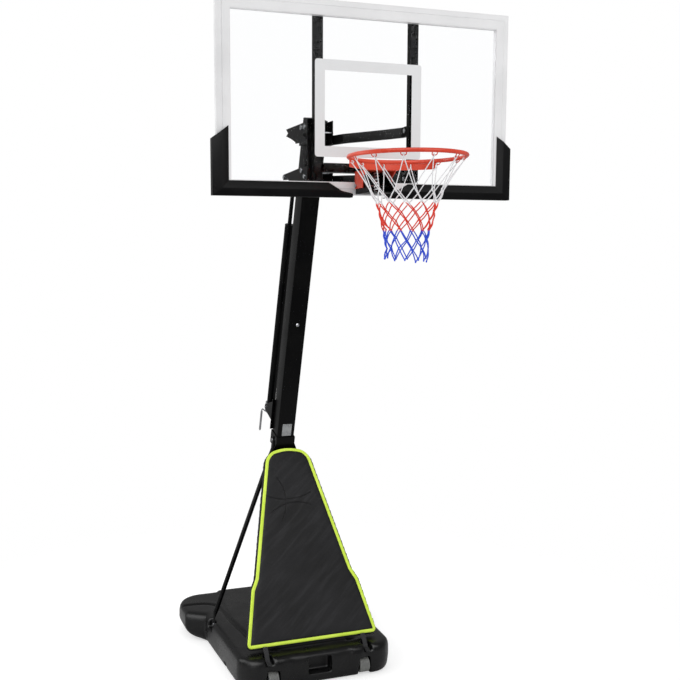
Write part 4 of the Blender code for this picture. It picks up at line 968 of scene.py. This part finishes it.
    def dent(self, vert: bmesh.types.BMVert) -> None:
        """Keep a vertex off the floor, and draw it in between the front face's lobes.

        Args:
            vert: A vertex of the moulding.
        """
        x, y, z = vert.co
        z = max(z, 0.0)
        near = max(math.exp(-((abs(x) - middle) / half) ** 4) for middle, half in self.front_lobes)
        share = min(1.0, max(0.0, (-0.43 - y) / 0.07)) * min(1.0, max(0.0, (z - 0.01) / 0.04))
        vert.co = (x, y + self.dent_depth * (1.0 - near) * share, z)

    def wheel(self, side: Side) -> None:
        """Model a wheel with tread ribs and a hollow hub.

        Args:
            side: The side of the base that it is on.
        """
        bm = bmesh.new()
        half = self.wheel_width / 2
        radius = self.wheel_radius
        edge = [(0.0066, half - 0.006), (0.012, half - 0.006), (0.014, half - 0.012), (0.028, half - 0.012),
                (0.031, half), (radius - 0.004, half), (radius, half - 0.004)]
        profile = list(edge)
        for rib in range(5):
            z = half - 0.009 - rib * 0.0085
            profile += [(radius, z), (radius - 0.0015, z - 0.001), (radius - 0.0015, z - 0.0025),
                        (radius, z - 0.0035)]
        profile += [(r, -z) for r, z in edge[::-1]] + edge[:1]
        x, y, z = self.wheel_at
        place = Matrix.Translation((side.value * x, y, z)) @ Matrix.Rotation(math.pi / 2, 4, "Y")
        turned(bm, profile, place, 48)
        keep(bm, "wheel_tread_" + side.hand, self.paints["wheel_grey"], "wheel_" + side.hand, "wheel",
             "wheel_" + side.hand)

    def cap(self) -> None:
        """Model the filler cap with grip ribs round its edge."""
        bm = bmesh.new()
        count = 72
        outline = []
        for i in range(count):
            radius = 0.0335 if i % 3 else 0.0315
            outline.append((radius * math.cos(TURN * i / count), radius * math.sin(TURN * i / count)))
        slab(bm, outline, 0.0003, 0.010, Axis.Z)
        soften(bm, 0.0008, 2, 60.0)
        for profile in ([(0.0, 0.012), (0.020, 0.012), (0.022, 0.010), (0.022, 0.006)],
                        [(0.0, 0.001), (0.024, 0.001), (0.024, -0.020), (0.0, -0.020)]):
            turned(bm, profile, Matrix.Identity(4), 32)
        bmesh.ops.translate(bm, verts=bm.verts, vec=(0.0, self.cap_y, self.height))
        keep(bm, "filler_cap_ribbed", self.paints["black_trim"], "filler_cap", "trim", "filler_cap")


@dataclass
class Pole:
    """The leaning square pole, its cap and the bare plate."""

    paints: Paints
    half: float = 0.050
    wall: float = 0.0028
    start: float = 0.045
    joint: float = 1.915
    top_z: float = 2.905
    corner: float = 0.009
    plate: tuple = (-0.026, 0.029, 1.236, 1.307)

    def square(self) -> list[Flat]:
        """Return the tube's rounded outline."""
        half = self.half
        return rounded(rectangle(-half, half, -half, half), [self.corner] * 4, 5)

    def lean(self, bm: Mesh) -> None:
        """Take a mesh from the pole's own frame to the stand's."""
        bmesh.ops.transform(bm, matrix=pole_place(), verts=bm.verts)

    def tube(self, name: str, low: float, high: float, node: str) -> None:
        """Model one length of square tube with rounded corners and open ends.

        Args:
            name: The piece's name.
            low: Where it starts along the pole.
            high: Where it ends along the pole.
            node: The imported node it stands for.
        """
        bm = bmesh.new()
        outer = self.square()
        share = (self.half - self.wall) / self.half
        inner = [(x * share, y * share) for x, y in outer]
        loops = [edge_loop(bm, [(x, y, z) for x, y in outline])
                 for outline, z in ((outer, low), (outer, high), (inner, high), (inner, low))]
        bridge(bm, loops, True)
        bmesh.ops.recalc_face_normals(bm, faces=bm.faces)
        self.lean(bm)
        keep(bm, name, self.paints["powder_black"], "stand", "frame", node)

    def build(self) -> None:
        """Model the tubes, the cap and the plate."""
        rise = math.cos(POLE_LEAN)
        end = self.top_z / rise
        self.tube("pole_tube_lower", self.start, self.joint, "pole_lower")
        self.tube("pole_tube_upper", self.joint + 0.0006, end, "pole_upper")
        bm = bmesh.new()
        slab(bm, self.square(), end + 0.0003, end + 0.012, Axis.Z)
        soften(bm, 0.003, 3, 60.0)
        self.lean(bm)
        keep(bm, "pole_end_cap", self.paints["black_trim"], "stand", "trim", "pole_cap")
        left, right, low, high = self.plate
        low, high = low / rise, high / rise
        bm = bmesh.new()
        outline = rounded(rectangle(left, right, low, high), [0.003] * 4, 3)
        slab(bm, outline, -self.half - 0.0012, -self.half - 0.0002, Axis.Y)
        soften(bm, 0.0003, 1, 60.0)
        self.lean(bm)
        keep(bm, "bare_plate", self.paints["label_foil"], "stand", "trim")


@dataclass
class Board:
    """The board: moulded frame, clear panel, printed square and corner pads."""

    paints: Paints
    face_y: float = -1.100
    bottom: float = 2.501
    width: float = 1.370
    height: float = 0.812
    depth: float = 0.026
    borders: Point = (0.0624, 0.0654, 0.0559)
    lip: float = 0.026
    setback: float = 0.006
    sheet: float = 0.004
    play: float = 0.0004
    target: tuple = (0.2505, 0.408, 0.161, 0.0455)

    def frame(self) -> None:
        """Model the frame as one swept section with a stepped outer lip."""
        bm = bmesh.new()
        front, back = self.face_y, self.face_y + self.depth
        groove = front + self.setback - 0.0005, front + self.setback + self.sheet + 0.0005
        lip = self.lip
        stations = [(0.0, 0.0, back), (0.0, 0.0, front + 0.006), (0.0, 0.002, front + 0.0035),
                    (0.0, lip - 0.003, front + 0.0015), (0.0, lip - 0.001, front + 0.003),
                    (0.0, lip, front + 0.003), (0.0, lip + 0.0015, front + 0.0004), (0.0, lip + 0.003, front),
                    (1.0, -0.004, front), (1.0, 0.0, front + 0.002), (1.0, 0.0, groove[0]),
                    (1.0, 0.0, groove[1]), (1.0, 0.0, back)]
        loops = []
        for share, extra, y in stations:
            side, top, foot = (border * share + extra for border in self.borders)
            half = self.width / 2 - side
            low, high = self.bottom + foot, self.bottom + self.height - top
            loops.append(edge_loop(bm, [(x, y, z) for x, z in rectangle(-half, half, low, high)]))
        bridge(bm, loops, True)
        bmesh.ops.remove_doubles(bm, verts=bm.verts, dist=1e-6)
        bmesh.ops.recalc_face_normals(bm, faces=bm.faces)
        keep(bm, "board_surround", self.paints["powder_white"], "board", "board_frame", "board_frame",
             sharp=30.0)

    def panel(self) -> None:
        """Model the clear sheet and the square printed on it."""
        bm = bmesh.new()
        side, top, foot = self.borders
        half = self.width / 2 - side - self.play
        y = self.face_y + self.setback
        block(bm, (-half, y, self.bottom + foot + self.play),
              (half, y + self.sheet, self.bottom + self.height - top - self.play))
        keep(bm, "clear_sheet", self.paints["clear_sheet"], "board", "panel", "clear_panel")
        bm = bmesh.new()
        wide, tall, rise, band = self.target
        base = self.bottom + rise
        loops = []
        for inset, radius, proud in ((0.0, 0.012, 0.0009), (band, 0.001, 0.0009), (band, 0.001, 0.0003),
                                     (0.0, 0.012, 0.0003)):
            half, low, high = wide - inset, base + inset, base + tall - inset
            outline = rounded(rectangle(-half, half, low, high), [radius] * 4, 6)
            loops.append(edge_loop(bm, [(x, y - proud, z) for x, z in outline]))
        bridge(bm, loops, True)
        bmesh.ops.recalc_face_normals(bm, faces=bm.faces)
        keep(bm, "target_print", self.paints["target_print"], "board", "print", "target_square")

    def corner_pad(self, side: Side) -> None:
        """Model one corner pad: a ridged rubber angle round the board's lower corner.

        Args:
            side: The board's side that it guards.
        """
        face, back = self.face_y, self.face_y + self.depth
        wide, low = self.width / 2 + 0.021, self.bottom - 0.0105
        ridges = [(0.0, 0.0, back), (0.0, 0.0, face - 0.0050), (0.042, 0.0305, face - 0.0121),
                  (0.072, 0.0629, face - 0.0026), (0.072, 0.0629, face - 0.0003),
                  (0.0207, 0.0102, face - 0.0003), (0.0207, 0.0102, back)]
        stations = (lambda across, up: (wide - across, 2.723 + across * 0.75),
                    lambda across, up: (wide - across, low + up),
                    lambda across, up: (0.150 + up * 0.60, low + up),
                    lambda across, up: (0.100 + up * 0.44, low + up * 0.45),
                    lambda across, up: (0.078, low + up * 0.285))
        rings = []
        for station in stations:
            spots = [(*station(across, up), y) for across, up, y in ridges]
            rings.append([(side.value * x, y, z) for x, z, y in spots])
        bm = bmesh.new()
        loft(bm, rings)
        bmesh.ops.recalc_face_normals(bm, faces=bm.faces)
        soften(bm, 0.0022, 3, 12.0)
        keep(bm, "corner_guard_" + side.hand, self.paints["pad_rubber"], "board", "trim",
             "corner_pad_" + side.hand, sharp=50.0)

    def build(self) -> None:
        """Model the whole board."""
        self.frame()
        self.panel()
        for side in Side:
            self.corner_pad(side)


@dataclass
class Rim:
    """The orange ring, its hooks and the net."""

    paints: Paints
    centre: Point = (0.0, -1.474, 2.632)
    radius: float = 0.2335
    thick: float = 0.0085
    loops: int = 12
    hook_drop: float = 0.0175
    hook_radius: float = 0.222
    hook_wire: float = 0.002
    knots: tuple = (2.6095, 2.497, 2.452, 2.416, 2.379, 2.341, 2.306, 2.268, 2.222)
    girths: tuple = ((2.612, 0.222), (2.560, 0.186), (2.500, 0.149), (2.440, 0.121), (2.393, 0.107),
                     (2.338, 0.0945), (2.290, 0.0900), (2.214, 0.0905))

    def ring(self) -> None:
        """Model the ring with twelve bent wire hooks under it."""
        bm = bmesh.new()
        place = Matrix.Translation(self.centre)
        path = [place @ Vector((self.radius * math.cos(a), self.radius * math.sin(a), 0.0))
                for a in (TURN * i / 96 for i in range(96))]
        rod(bm, path, self.thick, 16, closed=True)
        outer, inner, drop = self.radius - 0.002, self.hook_radius, self.hook_drop
        spots = [(outer, -0.011, -0.005), (inner + 0.004, -0.010, -0.014), (inner, -0.005, -drop),
                 (inner, 0.005, -drop), (inner + 0.004, 0.010, -0.014), (outer, 0.011, -0.005)]
        for i in range(self.loops):
            turn = place @ Matrix.Rotation(TURN * i / self.loops, 4, "Z")
            rod(bm, [turn @ p for p in smooth_path(spots, 4)], self.hook_wire, 8)
        keep(bm, "ring_and_hooks", self.paints["rim_orange"], "rim", "rim", "rim_ring")

    def net_radius(self, z: float) -> float:
        """Return the net's radius at a height.

        Args:
            z: The height above the floor.

        Returns:
            The radius there.
        """
        for (high, wide), (low, narrow) in zip(self.girths, self.girths[1:]):
            if z >= low:
                return narrow + (wide - narrow) * min((z - low) / (high - low), 1.0)
        return self.girths[-1][1]

    def net_knots(self) -> list[list[Vector]]:
        """Place the knots, tight at the hooks and loose at the foot.

        Returns:
            The knots' places, row by row from the hooks down.
        """
        chance = random.Random(11)
        cx, cy, _ = self.centre
        rows = []
        for row, z in enumerate(self.knots):
            loose = 0.0 if row == 0 else (0.004 if row < 5 else 0.012)
            spots = []
            for i in range(self.loops):
                angle = TURN * (i + 0.5 * (row % 2)) / self.loops + chance.uniform(-1, 1) * loose * 4
                radius = self.net_radius(z) + chance.uniform(-1, 0.3) * loose
                drop = chance.uniform(-1, 1) * loose * 0.8
                spots.append(Vector((cx + radius * math.cos(angle), cy + radius * math.sin(angle), z + drop)))
            rows.append(spots)
        return rows

    def outwards(self, spot: Vector) -> Vector:
        """Return the level way from the ring's middle to a spot."""
        return Vector((spot.x - self.centre[0], spot.y - self.centre[1], 0.0)).normalized()

    def net(self) -> None:
        """Model the net: twine from knot to knot, with long upper bays and loose lower ends."""
        bm = bmesh.new()
        rows = self.net_knots()
        for row, (spots, below) in enumerate(zip(rows, rows[1:])):
            slack, twine = (-0.002, 0.0020) if row == 0 else (0.004, 0.0025)
            for i, top in enumerate(spots):
                near = i - 1 + row % 2
                for low in (below[near % self.loops], below[(near + 1) % self.loops]):
                    middle = (top + low) / 2
                    middle += self.outwards(middle) * slack
                    rod(bm, smooth_path([top, middle, low], 4), twine, 7)
        for row, spots in enumerate(rows):
            for spot in spots:
                place = Matrix.Translation(spot) @ Matrix.Diagonal((1, 1, 1.35, 1))
                bmesh.ops.create_icosphere(bm, subdivisions=2, radius=0.0034 if row else 0.0026, matrix=place)
        for spot in rows[0]:
            out = self.outwards(spot)
            along = Vector((-out.y, out.x, 0.0)) * 0.002
            hook = spot + Vector((0.0, 0.0, 0.0052))
            crown = hook + Vector((0.0, 0.0, 0.0050))
            rod(bm, smooth_path([spot - along, hook - out * 0.0048, crown, hook + out * 0.0048,
                                 spot + along], 4), 0.0022, 7)
        keep(bm, "net_of_twine", self.paints["net_twine"], "rim", "net", "net", sharp=60.0)

    def build(self) -> None:
        """Model the ring and the net."""
        self.ring()
        self.net()


@dataclass
class PolePad:
    """The leaning pad: a stuffed cover, its bright piping and its straps."""

    paints: Paints
    lean: float = math.radians(24.57)
    foot: Point = (0.0, -0.42205, 0.19914)
    thickness: float = 0.030
    border: float = 0.024
    half_widths: tuple = ((0.0, 0.360), (0.285, 0.299), (0.345, 0.268), (1.020, 0.114))
    top: float = 1.044
    crown: float = 0.006
    voxel: float = 0.008
    ball: Flat = (-0.026, 0.765)
    ball_radius: float = 0.135
    piping_half: float = 0.0095
    piping_flat: float = 0.42
    seam_depth: float = 0.0035
    seam_reach: float = 0.022
    strap_path: tuple = ((-0.437, 0.196), (-0.462, 0.172), (-0.474, 0.150), (-0.486, 0.138), (-0.520, 0.130))
    strap_half: float = 0.0125

    @property
    def place(self) -> Matrix:
        """Return the matrix from the pad's own frame to the stand's."""
        return Matrix.Translation(self.foot) @ Matrix.Rotation(-self.lean, 4, "X")

    @property
    def out(self) -> Vector:
        """Return the way the pad's front faces."""
        return self.place.to_3x3() @ Vector((0.0, -1.0, 0.0))

    def outline(self, grow: float, steps: int = 6) -> list[Flat]:
        """Return the pad's front outline, grown from its piping.

        Args:
            grow: How far the outline lies outside the piping's middle.
            steps: The pieces of each rounded corner.

        Returns:
            The outline in order round it.
        """
        corners = [(-self.half_widths[0][1] - grow, -grow), (self.half_widths[0][1] + grow, -grow)]
        corners += [(half + grow, height) for height, half in self.half_widths[1:]]
        corners.append((0.0, self.top + grow))
        corners += [(-half - grow, height) for height, half in self.half_widths[:0:-1]]
        radii = [0.012 + grow, 0.012 + grow, 0.040, 0.040, 0.078 + grow, 0.250 + grow, 0.078 + grow,
                 0.040, 0.040]
        return rounded(corners, radii, steps)

    def cover(self) -> bpy.types.Object:
        """Model the stuffed cover and let it swell as cloth does.

        Returns:
            The cover.
        """
        bm = bmesh.new()
        slab(bm, self.outline(self.border), 0.004, self.thickness - 0.001, Axis.Y)
        bmesh.ops.transform(bm, matrix=self.place, verts=bm.verts)
        body = to_object(bm, "pad_body")
        grid = body.modifiers.new("grid", "REMESH")
        grid.mode = "VOXEL"
        grid.voxel_size = self.voxel
        mesh = applied(body)
        body.modifiers.clear()
        body.data = mesh
        rest = [vert.co.copy() for vert in mesh.vertices]
        self.swell(body)
        bm = bmesh.new()
        bm.from_mesh(body.data)
        bpy.data.objects.remove(body, do_unlink=True)
        bm.verts.ensure_lookup_table()
        for vert, start in zip(bm.verts, rest):
            move = vert.co - start
            vert.co = start + move.normalized() * min(move.length, self.crown) if move.length else start
        relax = {"factor": 0.5, "use_axis_x": True, "use_axis_y": True, "use_axis_z": True}
        bmesh.ops.smooth_vert(bm, verts=bm.verts, **relax)
        bmesh.ops.subdivide_edges(bm, edges=bm.edges, cuts=1, use_grid_fill=True, smooth=0.0)
        bmesh.ops.smooth_vert(bm, verts=bm.verts, **relax)
        self.press_seam(bm)
        cloth = PadCover("pad_cover_cloth", self.lean, self.foot, self.ball, self.ball_radius)
        cover = keep(bm, "pad_cover", cloth.make(self.paints.effects), "stand", "pad", "pole_pad", sharp=80.0)
        return cover

    @staticmethod
    def swell(body: bpy.types.Object) -> None:
        """Run a short cloth simulation with air pressure and apply it.

        Args:
            body: The cover at rest, which takes the swollen shape.
        """
        cloth = body.modifiers.new("cloth", "CLOTH")
        cloth.settings.use_pressure = True
        cloth.settings.uniform_pressure_force = 4.0
        cloth.settings.effector_weights.gravity = 0.0
        cloth.settings.quality = 5
        cloth.point_cache.frame_start, cloth.point_cache.frame_end = 1, 20
        for frame in range(1, 21):
            bpy.context.scene.frame_set(frame)
        mesh = applied(body)
        body.modifiers.clear()
        body.data = mesh
        bpy.context.scene.frame_set(1)

    def piping_path(self) -> list[Vector]:
        """Space points evenly along the piping's middle.

        Returns:
            The points, flat on the front face.
        """
        loop = [Vector((x, 0.0, z)) for x, z in self.outline(0.0, 8)]
        made = []
        for start, end in zip(loop, loop[1:] + loop[:1]):
            pieces = max(1, round((end - start).length / 0.012))
            made += [start.lerp(end, i / pieces) for i in range(pieces)]
        return [self.place @ point for point in made]

    def press_seam(self, bm: Mesh) -> None:
        """Draw the front face in along the piping, as its stitching does.

        Args:
            bm: The cover's mesh.
        """
        out = self.out
        path = self.piping_path()
        tree = KDTree(len(path))
        for i, point in enumerate(path):
            tree.insert(point, i)
        tree.balance()
        bm.normal_update()
        for vert in bm.verts:
            if vert.normal.dot(out) < 0.5:
                continue
            near = tree.find(vert.co)[0]
            flat = (vert.co - near) - out * (vert.co - near).dot(out)
            reach = max(0.0, 1.0 - flat.length / self.seam_reach)
            vert.co -= out * self.seam_depth * reach * reach

    def piping(self, cover: bpy.types.Object) -> None:
        """Lay the flat bright piping on the cover's front.

        Args:
            cover: The finished cover that it is stitched to.
        """
        out = self.out
        tree = BVHTree.FromObject(cover, bpy.context.evaluated_depsgraph_get())
        path = []
        for point in self.piping_path():
            hit = tree.ray_cast(point + out * 0.1, -out)[0]
            path.append((hit if hit else point) + out * 0.0012)
        bm = bmesh.new()
        rings = []
        for i, point in enumerate(path):
            way = (path[(i + 1) % len(path)] - path[i - 1]).normalized()
            frame = Matrix((way.cross(out).normalized(), out, way)).transposed().to_4x4()
            flatten = Matrix.Diagonal((1.0, self.piping_flat, 1.0, 1.0))
            rings.append(section(bm, 14, self.piping_half, Matrix.Translation(point) @ frame @ flatten))
        bridge(bm, rings, True)
        bmesh.ops.recalc_face_normals(bm, faces=bm.faces)
        keep(bm, "pad_piping", self.paints["lime_piping"], "stand", "pad", sharp=80.0)

    def strap(self, side: Side) -> None:
        """Model the webbing strap that holds one lower corner of the pad to the base.

        Args:
            side: The corner's side.
        """
        bm = bmesh.new()
        half = self.strap_half
        path = [Vector((side.value * STRAP_X, y, z)) for y, z in self.strap_path]
        for first, second in zip(path, path[1:]):
            way = second - first
            turn = way.to_track_quat("Z", "X").to_matrix().to_4x4()
            made = block(bm, (-half, -0.0010, -0.001), (half, 0.0010, way.length + 0.001))
            place = Matrix.Translation(first) @ turn @ Matrix.Rotation(math.pi / 2, 4, "Z")
            bmesh.ops.transform(bm, matrix=place, verts=made)
        keep(bm, "pad_strap_" + side.hand, self.paints["webbing"], "stand", "pad")

    def build(self) -> None:
        """Model the pad."""
        self.piping(self.cover())
        for side in Side:
            self.strap(side)


@dataclass
class Hardware:
    """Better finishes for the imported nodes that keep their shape."""

    paints: Paints

    FINISHES: ClassVar[dict[str, tuple[str, ...]]] = {
        "zinc_plate": ("wheel_axle", "pole_joint_bolt", "brace_collar_bolt", "brace_foot_bolt",
                       "upper_pivot_bolt", "lower_pivot_bolt", "upper_channel_bolt", "lower_channel_bolt",
                       "jack_cross_pin", "jack_bearing", "jack_screw", "crank_rod", "hinge_pin",
                       "rim_spring", "rim_hinge_pin"),
        "powder_black": ("brace_", "upper_", "lower_", "jack_bracket", "jack_tube", "jack_rod", "rear_",
                         "hinge_bracket", "rim_mount"),
        "water": ("ballast_water",),
        "grip_grey": ("crank_grip",),
        "rim_orange": ("rim_bracket",),
    }

    def build(self, nodes: dict[str, bpy.types.Object]) -> None:
        """Dress each kept node by the start of its name, the longest match first.

        Args:
            nodes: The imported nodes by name.
        """
        rows = [(start, finish) for finish, starts in self.FINISHES.items() for start in starts]
        rows.sort(key=lambda row: -len(row[0]))
        for name, node in nodes.items():
            finish = next((value for start, value in rows if name.startswith(start)), None)
            if finish is None:
                LOG.info("%s has no finish of its own here", name)
                continue
            for place in node.material_slots:
                place.material = self.paints[finish]


def main() -> None:
    """Build the studio and the stand."""
    logging.basicConfig(level=logging.INFO, format="%(name)s: %(message)s")
    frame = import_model()
    bpy.context.scene.view_settings.view_transform = "Standard"
    paints = Paints(Effects.build())
    Studio().build()
    Hardware(paints).build(frame["nodes"])
    for part in (Tank(paints), Pole(paints), Board(paints), Rim(paints), PolePad(paints)):
        part.build()


if __name__ == "__main__":
    main()
